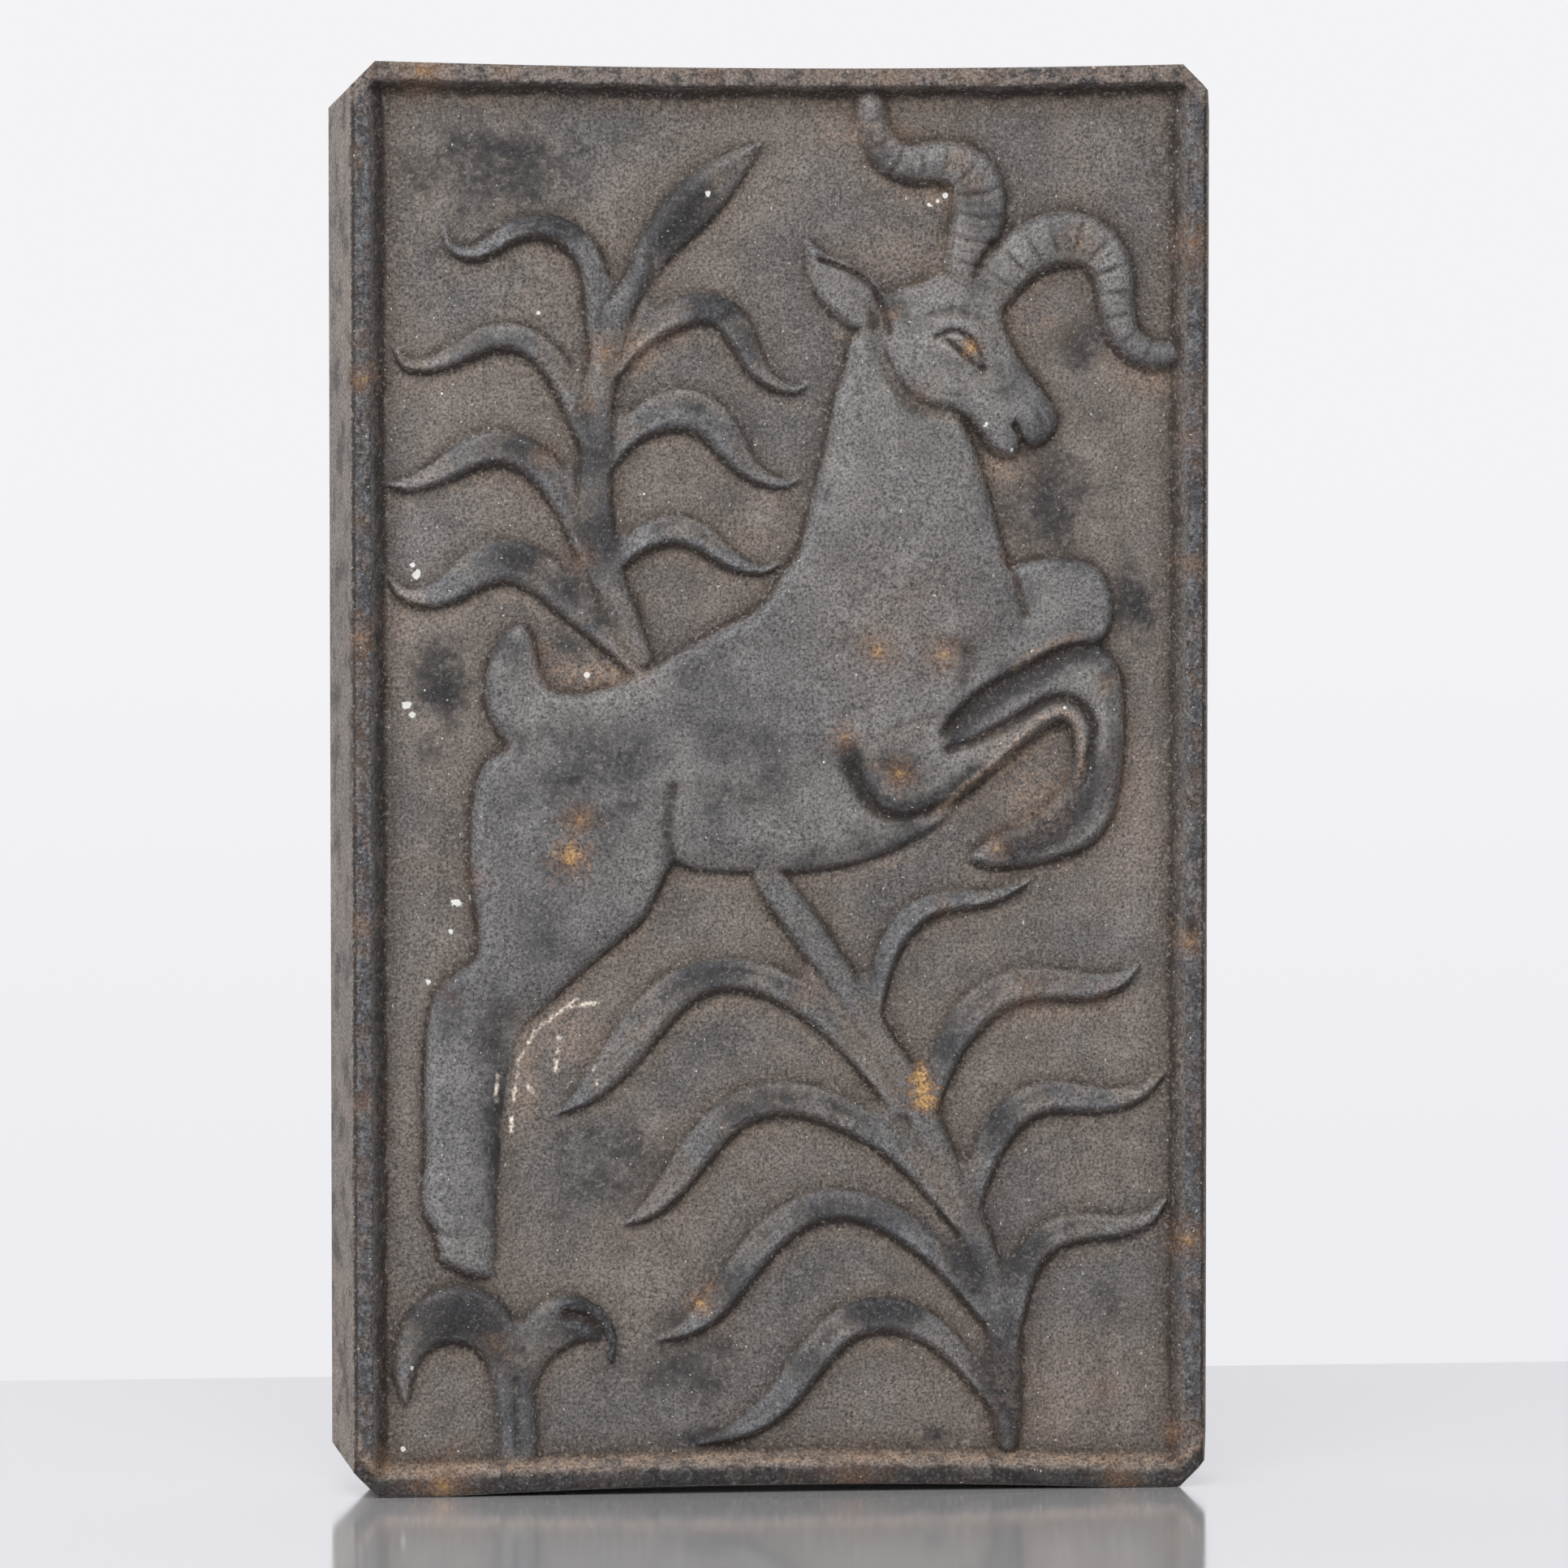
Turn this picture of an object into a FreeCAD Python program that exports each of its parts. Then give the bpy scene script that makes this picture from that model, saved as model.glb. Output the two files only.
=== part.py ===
"""Cast iron relief plaque: a leaping ibex among leafy sprigs inside a raised rim.

One hollow-backed casting carries its hanging hardware on bosses in the hollow.
Millimetres, +Z up, the relief faces -Y, origin at the middle of the footprint.
"""
import FreeCAD, Part
import os

Vector = FreeCAD.Vector

# Casting
plaque_height = 400.0
face_width = 240.0
casting_depth = 30.0
side_flare = 5.0
corner_cut = 7.0
top_dip = 1.6
foot_rise = 2.2
foot_land = 18.0
rim_width = 5.0
rim_slope = 4.5
rim_slope_top = 2.2
rim_height = 5.5
field_thickness = 7.0
wall_thickness = 8.0
cavity_corner = 12.0
cavity_draft = 1.0

# Relief: heights above the field, and the run of the steep edge of each raised strip
leaf_height = 2.7
stem_height = 3.1
sprout_height = 2.9
trunk_height = 4.2
neck_height = 4.4
head_height = 5.0
leg_height = 4.7
far_leg_height = 3.2
horn_height = 3.8
ear_height = 3.5
tail_height = 3.7
leaf_edge = 2.4
body_edge = 3.4
root_depth = 1.0
shoulder_share = 0.74
tip_taper = 0.3
tip_lap = 0.5

# Hanger bar and its bolts
hanger_drop = 70.0
bolt_spacing = 140.0
bar_end = 18.0
bar_height = 32.0
bar_thickness = 3.0
bolt_radius = 3.0
bolt_engagement = 7.0
bolt_head_flats = 10.0
bolt_head_height = 4.0
bolt_hole_clearance = 0.5
washer_radius = 6.0
washer_thickness = 1.2
boss_radius = 9.0
thread_clearance = 0.3
drill_point_room = 1.0

# Hanging bail and its saddle
wire_radius = 2.5
bail_half_width = 20.5
bail_leg = 18.0
bail_bend = 6.0
bail_clearance = 0.4
saddle_width = 14.0
saddle_thickness = 2.0
saddle_foot = 10.0
rivet_radius = 2.0
rivet_head_radius = 3.6
rivet_head_height = 2.2
rivet_clearance = 0.15
saddle_recess = 0.2

# Wall pads and their screws
pad_inset = 35.0
pad_level = 42.0
pad_radius = 9.0
pad_thickness = 8.0
pad_proud = 2.0
pad_counterbore_radius = 4.8
pad_counterbore_depth = 4.0
pad_boss_radius = 10.0
pad_screw_radius = 2.0
pad_screw_head_radius = 3.8
pad_screw_head_height = 2.4
pad_screw_engagement = 8.0
pad_hole_clearance = 0.4

# Levels through the depth, front to back
front_y = -(casting_depth + pad_proud) / 2
back_y = front_y + casting_depth
field_y = front_y + rim_height
floor_y = field_y + field_thickness
bar_back_y = back_y - saddle_recess - saddle_thickness - 2 * (wire_radius + bail_clearance)
seat_y = bar_back_y - bar_thickness
washer_back_y = bar_back_y + washer_thickness
bail_y = bar_back_y + bail_clearance + wire_radius
pad_back_y = back_y + pad_proud
pad_seat_y = pad_back_y - pad_thickness
overshoot = 1.0

# Places across the back
hanger_level = plaque_height - hanger_drop
bar_length = bolt_spacing + 2 * bar_end
pad_spacing = face_width - 2 * pad_inset

# Raised strips of the relief, each a row of (x, z, half width) along its middle line,
# measured from the middle of the field
upper_sprig_leaves = [
    [(-41, 136, 3.8), (-36, 147, 4.6), (-28, 157, 6.4), (-19, 166, 5.8), (-11, 173, 3.4), (-5, 177.5, 0.6)],
    [(-93.5, 154, 0.6), (-91.8, 148.8, 1.6), (-86, 146.9, 2.2), (-79.8, 149.6, 2.9), (-74.8, 153, 3.4),
     (-67.3, 154.6, 3.7), (-59.8, 152.3, 3.9), (-54.4, 147, 4.0), (-51.6, 139, 4.0), (-51, 129, 3.6),
     (-50.5, 120, 3.0)],
    [(-107, 120.5, 0.6), (-104.5, 116.4, 1.7), (-98.5, 116, 2.3), (-92, 118.2, 3.0), (-85.5, 121.6, 3.8),
     (-78, 123.8, 4.2), (-71.5, 122.6, 4.3), (-65.5, 118.5, 4.2), (-60.8, 112, 4.0), (-57.3, 104, 3.6),
     (-54.5, 96, 3.0)],
    [(-109.5, 83, 0.6), (-104, 82.8, 2.2), (-97.5, 85, 3.2), (-90, 89, 4.4), (-83, 92.4, 5.2),
     (-76, 92.6, 5.4), (-69.5, 89.6, 5.2), (-63.8, 84, 4.8), (-59.6, 77, 4.2), (-56, 68, 3.4),
     (-53, 60, 2.6)],
    [(-109, 57, 0.6), (-105.5, 52.5, 2.0), (-99, 51.4, 3.2), (-92, 54, 4.6), (-86, 58.2, 5.8),
     (-79.5, 61, 6.4), (-73, 60.6, 6.4), (-66.5, 57, 6.0), (-60, 51.3, 5.4), (-53.5, 45, 4.6),
     (-47, 38.5, 3.6), (-41.5, 32.5, 2.4)],
    [(7.5, 110.5, 0.6), (3.5, 109.2, 1.4), (-2, 111.3, 2.2), (-7, 116, 3.2), (-10.3, 122.8, 4.0),
     (-14.8, 129.3, 4.6), (-21.5, 131.8, 4.7), (-29, 129.8, 4.4), (-36, 125.5, 3.8), (-42, 120.2, 3.2),
     (-47, 113.5, 2.6)],
    [(5.5, 84.5, 0.6), (2, 83, 1.4), (-3.5, 84, 2.2), (-9, 87.5, 3.4), (-13.6, 93, 4.8),
     (-18.5, 99.4, 5.8), (-25, 103, 6.4), (-32, 102.8, 6.0), (-39, 99.6, 4.8), (-44.5, 94.5, 3.6),
     (-48.5, 88, 2.6)],
    [(-0.5, 60.5, 0.6), (-5, 58.8, 1.4), (-11.5, 60.4, 2.4), (-17, 64, 3.4), (-22.4, 68, 4.2),
     (-29, 70, 4.4), (-36, 68.6, 4.2), (-42, 65, 3.6), (-47, 59.5, 2.6)],
]
lower_sprig_leaves = [
    [(-63, -93.2, 0.6), (-55.5, -88.5, 3.0), (-48.5, -81.5, 5.0), (-42.5, -74, 6.0), (-36.3, -66, 6.2),
     (-29.5, -59.4, 5.8), (-21, -55.4, 5.0), (-11.5, -54.6, 4.8), (-2.5, -57, 4.8), (6, -61.7, 4.6),
     (14, -68.5, 4.0), (22, -77.5, 3.2), (29, -87, 2.4)],
    [(-44, -124.4, 0.6), (-37, -120.5, 2.8), (-31, -114.5, 4.2), (-25.5, -107, 5.0), (-19.5, -99.5, 5.2),
     (-12.5, -93.4, 5.2), (-4.5, -90.2, 5.3), (4.5, -89.8, 5.2), (13.5, -92.2, 5.0), (22.5, -96.6, 4.6),
     (31, -102.5, 4.0), (39, -110.5, 3.2), (46, -119.5, 2.4)],
    [(-34.5, -157, 0.6), (-26.5, -154, 2.8), (-19.5, -148.7, 4.2), (-13.5, -141.5, 4.8), (-8, -134, 5.0),
     (-1.8, -127.4, 5.0), (5.5, -122.2, 4.9), (13.5, -119.8, 4.8), (22, -120.4, 4.7), (30.5, -123.6, 4.6),
     (38.5, -129, 4.2), (46, -136.2, 3.4), (53.5, -145.5, 2.4)],
    [(-23, -186.2, 0.6), (-14.5, -184, 2.4), (-6.5, -180, 3.8), (0.5, -174, 4.6), (6, -167, 5.0),
     (11.5, -160, 5.2), (18, -154, 5.4), (26, -151, 5.4), (34.5, -151.6, 5.2), (42.5, -155.4, 4.6),
     (50, -162, 3.8), (57, -171, 2.6)],
    [(70.8, -28.4, 0.6), (64, -31.7, 1.8), (57, -33.6, 2.6), (49.5, -34.2, 3.1), (42, -35.8, 3.5),
     (35.6, -40.4, 3.8), (31, -47.4, 3.6), (28.6, -55.5, 2.8), (28, -63, 1.2)],
    [(101.8, -52.4, 0.6), (96.5, -56.6, 2.6), (88.5, -58.7, 4.0), (79, -58.2, 4.8), (70.5, -58, 5.1),
     (62.5, -60.4, 5.4), (55.5, -65.2, 5.5), (50, -72, 5.0), (46, -80, 4.2), (43.5, -88, 3.0)],
    [(108.8, -83, 0.6), (102.5, -88.2, 2.4), (94.5, -90.6, 3.6), (86, -90.4, 4.4), (77.5, -89.8, 4.8),
     (69.8, -91.8, 5.0), (63.8, -96.6, 5.0), (59.6, -103.5, 4.4), (56.8, -111.5, 3.4), (55.6, -118, 2.2)],
    [(109.5, -118.7, 0.6), (104.5, -124, 2.4), (96.5, -126.4, 3.4), (87.5, -126.6, 4.2), (79.6, -128, 4.6),
     (73, -132.4, 4.6), (69, -139.2, 4.2), (67, -147.5, 3.6), (66, -155, 2.6)],
]
stems = [
    [(-38, 34, 2.5), (-43.5, 45, 4.2), (-48, 56, 4.6), (-51.5, 73, 4.7), (-51.8, 92, 4.7),
     (-51, 106, 4.7), (-48.5, 121, 4.6), (-44.5, 132, 4.2), (-39, 142, 3.6)],
    [(3, -30, 4.0), (11, -44, 4.4), (19, -58, 4.6), (29, -76, 4.8), (37, -88, 5.0), (43, -102, 4.8),
     (51, -119, 4.7), (56.5, -132.5, 4.6), (60.8, -145, 4.6), (63.3, -158, 4.8), (64, -170, 4.8),
     (64.3, -181, 4.4), (64.6, -188, 3.0)],
]
sprout = [
    [(-105.3, -174, 1.0), (-105.6, -166, 3.4), (-103, -157.5, 5.6), (-97.5, -151.4, 8.0),
     (-90.5, -149.4, 9.0), (-83.5, -152, 8.4), (-78.5, -158, 7.0), (-75.5, -166, 6.2),
     (-74.2, -178, 6.0), (-74, -189, 6.0)],
    [(-48.8, -163, 0.8), (-48.8, -156.5, 2.6), (-51.5, -151, 4.2), (-57, -147.6, 5.2), (-63, -148.4, 5.6),
     (-68, -153.4, 5.6), (-71.5, -161, 5.0), (-73, -170, 4.0)],
]
trunk = [(-70, 5, 20), (-50, 3, 27), (-25, 3, 29.5), (0, 9, 34), (22, 18, 36), (42, 28, 30),
         (56, 36, 20)]
neck = [(28, 32, 34), (33, 58, 31), (34, 80, 25.5), (34, 96, 21.5), (36, 112, 18), (40, 125, 14)]
head = [(43, 143, 10), (46, 131, 17), (50, 119, 17), (57, 108, 12.8), (64, 100, 11), (70, 95.5, 8.5),
        (73.5, 92.8, 5)]
hind_leg = [(-56, 6, 24), (-58.5, -10, 28.5), (-60.5, -25, 26.5), (-64, -38, 22.5), (-71.5, -50.5, 16.5),
            (-81, -61.5, 13.5), (-87.5, -74, 12.4), (-89, -88, 11.6), (-89.3, -104, 11.2),
            (-89.3, -120, 10.4), (-88.6, -131, 8.6), (-87.5, -138.5, 5.5)]
forearm = [(30, 7, 15), (40, 4.5, 14.5), (52, 9, 12.5), (64, 17, 11.2), (75, 25, 10.6),
           (85, 29.5, 9.8)]
foreleg = [(87, 30, 9.5), (90.3, 18, 8.6), (90.2, 8, 7.6), (87.6, -2.5, 7.6), (81.5, -12, 8.2),
           (73.5, -18, 7.0), (64.5, -21.2, 4.6), (56, -22.6, 2.0)]
far_foreleg = [(62, 45, 10), (74, 49.5, 11.5), (83, 50, 11), (91, 46.5, 6)]
horns = [
    [(53, 143, 6.4), (54, 153, 6.8), (55, 162, 7.0), (54.2, 171, 6.0)],
    [(57.5, 166.5, 5.0), (52.5, 171.6, 6.4), (45, 173, 6.1), (37, 172.8, 5.6), (31, 175, 5.0),
     (27, 180.5, 4.4), (25.5, 187, 4.0), (25.4, 191, 3.4)],
    [(60, 138, 7.2), (66.5, 145.5, 7.6), (74, 150, 8.0), (82.5, 151.4, 8.0), (89.5, 148.4, 7.2),
     (93.8, 141.5, 6.0), (94.8, 133, 5.2), (96.8, 125, 4.8), (102, 119.9, 4.4), (107, 118.6, 4.2),
     (111, 118.8, 3.4)],
]
ear = [(7.6, 150.3, 0.8), (11, 143.5, 4.6), (16.5, 138, 7.4), (22.5, 133, 7.8), (28.5, 128.5, 6.0)]
tail = [(-72, 43.5, 1.6), (-75.5, 37.5, 5.2), (-76.3, 29, 6.8), (-74.5, 20.5, 7.4), (-70, 13, 7.0)]

# What is raised: groups of strips with their height and the run of their steep edge
picture = [
    (upper_sprig_leaves + lower_sprig_leaves, leaf_height, leaf_edge),
    (stems, stem_height, leaf_edge),
    (sprout, sprout_height, leaf_edge),
    (horns, horn_height, leaf_edge),
    ([trunk], trunk_height, body_edge),
    ([neck], neck_height, body_edge),
    ([head], head_height, body_edge),
    ([hind_leg, forearm, foreleg], leg_height, body_edge),
    ([far_foreleg], far_leg_height, body_edge),
    ([ear], ear_height, leaf_edge),
    ([tail], tail_height, body_edge),
]


def box(low, high):
    """A block between two corners."""
    size = high - low
    return Part.makeBox(size.x, size.y, size.z, low)


def rod(radius, x, z, y_start, y_end):
    """A round bar along Y, from y_start back to y_end."""
    return Part.makeCylinder(radius, y_end - y_start, Vector(x, y_start, z), Vector(0, 1, 0))


def closed_face(edges):
    """A flat face inside a closed run of edges."""
    return Part.Face(Part.Wire(edges))


def line(start, end):
    """A straight edge."""
    return Part.makeLine(start, end)


def arc(start, middle, end):
    """A circular edge through three points."""
    return Part.Arc(start, middle, end).toShape()


def polygon(points):
    """A closed wire through corner points."""
    return Part.makePolygon(points + points[:1])


def mirrored_pair(spacing):
    """The two X places of a pair set this far apart."""
    return [-spacing / 2, spacing / 2]


def outer_block():
    """The plaque's outside: flared sides, cut corners, a dipped top and an arched foot between two lands."""
    half = face_width / 2 + side_flare
    cut = corner_cut + side_flare
    top_end = half - cut
    land_end = top_end - foot_land

    def corner(x, z):
        return Vector(x, front_y, z)

    edges = [
        line(corner(-land_end, 0), corner(-top_end, 0)),
        line(corner(-top_end, 0), corner(-half, cut)),
        line(corner(-half, cut), corner(-half, plaque_height - cut)),
        line(corner(-half, plaque_height - cut), corner(-top_end, plaque_height)),
        arc(corner(-top_end, plaque_height), corner(0, plaque_height - top_dip),
            corner(top_end, plaque_height)),
        line(corner(top_end, plaque_height), corner(half, plaque_height - cut)),
        line(corner(half, plaque_height - cut), corner(half, cut)),
        line(corner(half, cut), corner(top_end, 0)),
        line(corner(top_end, 0), corner(land_end, 0)),
        arc(corner(land_end, 0), corner(0, foot_rise), corner(-land_end, 0)),
    ]
    slab = closed_face(edges).extrude(Vector(0, casting_depth, 0))
    plan = polygon([
        Vector(-face_width / 2, front_y, -overshoot),
        Vector(face_width / 2, front_y, -overshoot),
        Vector(half, back_y, -overshoot),
        Vector(-half, back_y, -overshoot),
    ])
    flared = Part.Face(plan).extrude(Vector(0, 0, plaque_height + 2 * overshoot))
    return slab.common(flared)


def rim_outline(slope_share, y):
    """The opening inside the rim at one depth, bowed like the edges outside it."""
    half = face_width / 2 - rim_width - rim_slope * slope_share
    low = rim_width + rim_slope * slope_share
    high = plaque_height - rim_width - rim_slope_top * slope_share
    corners = [Vector(-half, y, low), Vector(half, y, low), Vector(half, y, high), Vector(-half, y, high)]
    return Part.Wire([
        arc(corners[0], Vector(0, y, low + foot_rise), corners[1]),
        line(corners[1], corners[2]),
        arc(corners[2], Vector(0, y, high - top_dip), corners[3]),
        line(corners[3], corners[0]),
    ])


def front_recess():
    """The space in front of the field, with its sloped sides."""
    mouth = rim_outline(-overshoot / rim_height, front_y - overshoot)
    bottom = rim_outline(1, field_y)
    return Part.makeLoft([mouth, bottom], True, True)


def cavity_outline(shrink, y):
    """The hollow back's outline at one depth, with cut corners."""
    flare_here = side_flare * (y - front_y) / casting_depth
    half = face_width / 2 + flare_here - wall_thickness
    low = wall_thickness + foot_rise + shrink
    high = plaque_height - wall_thickness - top_dip - shrink
    cut = cavity_corner
    return polygon([
        Vector(-half + cut, y, low), Vector(half - cut, y, low),
        Vector(half, y, low + cut), Vector(half, y, high - cut),
        Vector(half - cut, y, high), Vector(-half + cut, y, high),
        Vector(-half, y, high - cut), Vector(-half, y, low + cut),
    ])


def back_cavity():
    """The hollow behind the field, drafted so that it would leave the sand."""
    deep_end = cavity_outline(cavity_draft, floor_y)
    mouth = cavity_outline(0, back_y + overshoot)
    return Part.makeLoft([deep_end, mouth], True, True)


def strip_section(point, direction, height, edge_run):
    """One crowned cross-section of a raised strip, rooted a little below the field."""
    x, z, half_width = point
    side = Vector(-direction.z, 0, direction.x)
    middle = Vector(x, field_y, z)
    shoulder = min(edge_run, half_width / 2)
    shoulder_height = height * shoulder_share
    root_half = half_width + shoulder * root_depth / shoulder_height
    top_half = half_width - shoulder

    def place(offset, rise):
        return middle + side * offset - Vector(0, rise, 0)

    left_root = place(-root_half, -root_depth)
    right_root = place(root_half, -root_depth)
    left_top = place(-top_half, shoulder_height)
    right_top = place(top_half, shoulder_height)
    return Part.Wire([
        line(left_root, left_top),
        arc(left_top, place(0, height), right_top),
        line(right_top, right_root),
        line(right_root, left_root),
    ])


def picture_scale():
    """The picture's scale, at which its outermost tips just lap the rim's slope."""
    points = [point for strips, height, edge in picture for strip in strips for point in strip]
    room = tip_lap - rim_width - rim_slope
    across = (face_width / 2 + room) / max(abs(x) for x, z, half_width in points)
    upward = (plaque_height / 2 + room) / max(abs(z) for x, z, half_width in points)
    return min(across, upward)


def raised_strip(drawn_points, height, drawn_edge):
    """A leaf, stem or limb of the relief, lofted through its crowned sections."""
    scale = picture_scale()
    middle = plaque_height / 2
    edge_run = drawn_edge * scale
    points = [(x * scale, middle + z * scale, half_width * scale) for x, z, half_width in drawn_points]
    widest = max(point[2] for point in points)
    last = len(points) - 1
    sections = []
    for index, point in enumerate(points):
        before = points[max(index - 1, 0)]
        after = points[min(index + 1, last)]
        direction = Vector(after[0] - before[0], 0, after[1] - before[1]).normalize()
        height_here = height * (point[2] / widest) ** tip_taper
        sections.append(strip_section(point, direction, height_here, edge_run))
    strip = Part.makeLoft(sections, True, False)
    if strip.Volume < 0:
        strip.reverse()
    return strip


def relief():
    """Every raised strip of the picture."""
    return [raised_strip(strip, height, edge) for strips, height, edge in picture for strip in strips]


def plaque_casting():
    """Rim, field, relief, walls and rear bosses, cast in one."""
    casting = outer_block().cut(front_recess()).cut(back_cavity())
    root_y = floor_y - overshoot
    bosses = [rod(boss_radius, x, hanger_level, root_y, seat_y) for x in mirrored_pair(bolt_spacing)]
    bosses += [rod(pad_boss_radius, x, pad_level, root_y, pad_seat_y) for x in mirrored_pair(pad_spacing)]
    for raised in bosses + relief():
        casting = casting.fuse(raised)
    bolt_hole_y = seat_y - bolt_engagement - drill_point_room
    for x in mirrored_pair(bolt_spacing):
        casting = casting.cut(rod(bolt_radius + thread_clearance, x, hanger_level, bolt_hole_y, seat_y))
    screw_hole_y = pad_seat_y - pad_screw_engagement - drill_point_room
    for x in mirrored_pair(pad_spacing):
        screw_hole = rod(pad_screw_radius + thread_clearance, x, pad_level, screw_hole_y, pad_seat_y)
        casting = casting.cut(screw_hole)
    return casting.removeSplitter()


def rivet_places():
    """The two rivets' heights: one through each foot of the saddle."""
    reach = wire_radius + bail_clearance + saddle_thickness + saddle_foot / 2
    return [hanger_level - reach, hanger_level + reach]


def hanger_bar():
    """A flat steel bar with round ends, across the two upper bosses."""
    end_radius = bar_height / 2
    run = bar_length / 2 - end_radius
    low = hanger_level - end_radius
    high = hanger_level + end_radius

    def corner(x, z):
        return Vector(x, seat_y, z)

    outline = [
        line(corner(-run, low), corner(run, low)),
        arc(corner(run, low), corner(run + end_radius, hanger_level), corner(run, high)),
        line(corner(run, high), corner(-run, high)),
        arc(corner(-run, high), corner(-run - end_radius, hanger_level), corner(-run, low)),
    ]
    bar = closed_face(outline).extrude(Vector(0, bar_thickness, 0))
    for x in mirrored_pair(bolt_spacing):
        bar = bar.cut(rod(bolt_radius + bolt_hole_clearance, x, hanger_level, seat_y, bar_back_y))
    for z in rivet_places():
        bar = bar.cut(rod(rivet_radius + rivet_clearance, 0, z, seat_y, bar_back_y))
    return bar


def hanger_washers():
    """Flat washers between the bar and the bolt heads."""
    washers = []
    for x in mirrored_pair(bolt_spacing):
        disc = rod(washer_radius, x, hanger_level, bar_back_y, washer_back_y)
        hole = rod(bolt_radius + bolt_hole_clearance, x, hanger_level, bar_back_y, washer_back_y)
        washers.append(disc.cut(hole))
    return Part.makeCompound(washers)


def hexagon_prism(flats, x, z, y_start, y_end):
    """A hexagonal bar along Y, measured across its flats."""
    blank = rod(flats, x, z, y_start, y_end)
    for turn in range(6):
        block = box(Vector(flats / 2, y_start, -2 * flats), Vector(2 * flats, y_end, 2 * flats))
        block.rotate(Vector(0, 0, 0), Vector(0, 1, 0), 60 * turn)
        block.translate(Vector(x, 0, z))
        blank = blank.cut(block)
    return blank


def hanger_bolts():
    """Hexagon bolts that hold the bar on its bosses."""
    bolts = []
    for x in mirrored_pair(bolt_spacing):
        cap = hexagon_prism(bolt_head_flats, x, hanger_level, washer_back_y, washer_back_y + bolt_head_height)
        shank = rod(bolt_radius, x, hanger_level, seat_y - bolt_engagement, washer_back_y + overshoot)
        bolts.append(cap.fuse(shank).removeSplitter())
    return Part.makeCompound(bolts)


def bail_saddle():
    """A bent strap over the bail's straight side, with a riveted foot above and below it."""
    inner = wire_radius + bail_clearance
    outer = inner + saddle_thickness
    toe = outer + saddle_foot
    foot_back_y = bar_back_y + saddle_thickness
    left = -saddle_width / 2

    def corner(y, rise):
        return Vector(left, y, hanger_level + rise)

    outline = [
        line(corner(bar_back_y, -toe), corner(bar_back_y, -inner)),
        line(corner(bar_back_y, -inner), corner(bail_y, -inner)),
        arc(corner(bail_y, -inner), corner(bail_y + inner, 0), corner(bail_y, inner)),
        line(corner(bail_y, inner), corner(bar_back_y, inner)),
        line(corner(bar_back_y, inner), corner(bar_back_y, toe)),
        line(corner(bar_back_y, toe), corner(foot_back_y, toe)),
        line(corner(foot_back_y, toe), corner(foot_back_y, outer)),
        line(corner(foot_back_y, outer), corner(bail_y, outer)),
        arc(corner(bail_y, outer), corner(bail_y + outer, 0), corner(bail_y, -outer)),
        line(corner(bail_y, -outer), corner(foot_back_y, -outer)),
        line(corner(foot_back_y, -outer), corner(foot_back_y, -toe)),
        line(corner(foot_back_y, -toe), corner(bar_back_y, -toe)),
    ]
    saddle = closed_face(outline).extrude(Vector(saddle_width, 0, 0))
    for z in rivet_places():
        saddle = saddle.cut(rod(rivet_radius + rivet_clearance, 0, z, bar_back_y, foot_back_y))
    return saddle


def rivet_cap(z, flat_y, peak_y):
    """A domed rivet head: the end of a ball, cut off flat where it seats."""
    ball_radius = (rivet_head_radius ** 2 + rivet_head_height ** 2) / (2 * rivet_head_height)
    inward = 1 if flat_y > peak_y else -1
    ball = Part.makeSphere(ball_radius, Vector(0, peak_y + inward * ball_radius, z))
    return ball.common(rod(ball_radius, 0, z, min(flat_y, peak_y), max(flat_y, peak_y)))


def rivet(z):
    """A round-headed rivet along Y, upset on the bar's front side."""
    head_y = bar_back_y + saddle_thickness
    shank = rod(rivet_radius, 0, z, seat_y, head_y)
    head_cap = rivet_cap(z, head_y, head_y + rivet_head_height)
    tail_cap = rivet_cap(z, seat_y, seat_y - rivet_head_height)
    return shank.multiFuse([head_cap, tail_cap])


def saddle_rivets():
    """Two rivets through the saddle's feet and the bar."""
    return Part.makeCompound([rivet(z) for z in rivet_places()])


def hanging_bail():
    """A bent wire loop that hangs from the saddle by its straight side."""
    level = hanger_level
    leg_end = level - bail_leg
    axle_half = bail_half_width - bail_bend
    diagonal = bail_bend * 0.5 ** 0.5

    def place(x, z):
        return Vector(x, bail_y, z)

    path = Part.Wire([
        line(place(-axle_half, level), place(axle_half, level)),
        arc(place(axle_half, level), place(axle_half + diagonal, level - bail_bend + diagonal),
            place(bail_half_width, level - bail_bend)),
        line(place(bail_half_width, level - bail_bend), place(bail_half_width, leg_end)),
        arc(place(bail_half_width, leg_end), place(0, leg_end - bail_half_width),
            place(-bail_half_width, leg_end)),
        line(place(-bail_half_width, leg_end), place(-bail_half_width, level - bail_bend)),
        arc(place(-bail_half_width, level - bail_bend),
            place(-axle_half - diagonal, level - bail_bend + diagonal),
            place(-axle_half, level)),
    ])
    section = Part.Wire(Part.makeCircle(wire_radius, place(-axle_half, level), Vector(1, 0, 0)))
    return path.makePipeShell([section], True, False)


def wall_pads():
    """Rubber pads that keep the foot of the plaque off the wall, counterbored for their screws."""
    pads = []
    bore_y = pad_back_y - pad_counterbore_depth
    for x in mirrored_pair(pad_spacing):
        pad = rod(pad_radius, x, pad_level, pad_seat_y, pad_back_y)
        pad = pad.cut(rod(pad_counterbore_radius, x, pad_level, bore_y, pad_back_y))
        pads.append(pad.cut(rod(pad_screw_radius + pad_hole_clearance, x, pad_level, pad_seat_y, bore_y)))
    return Part.makeCompound(pads)


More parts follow.
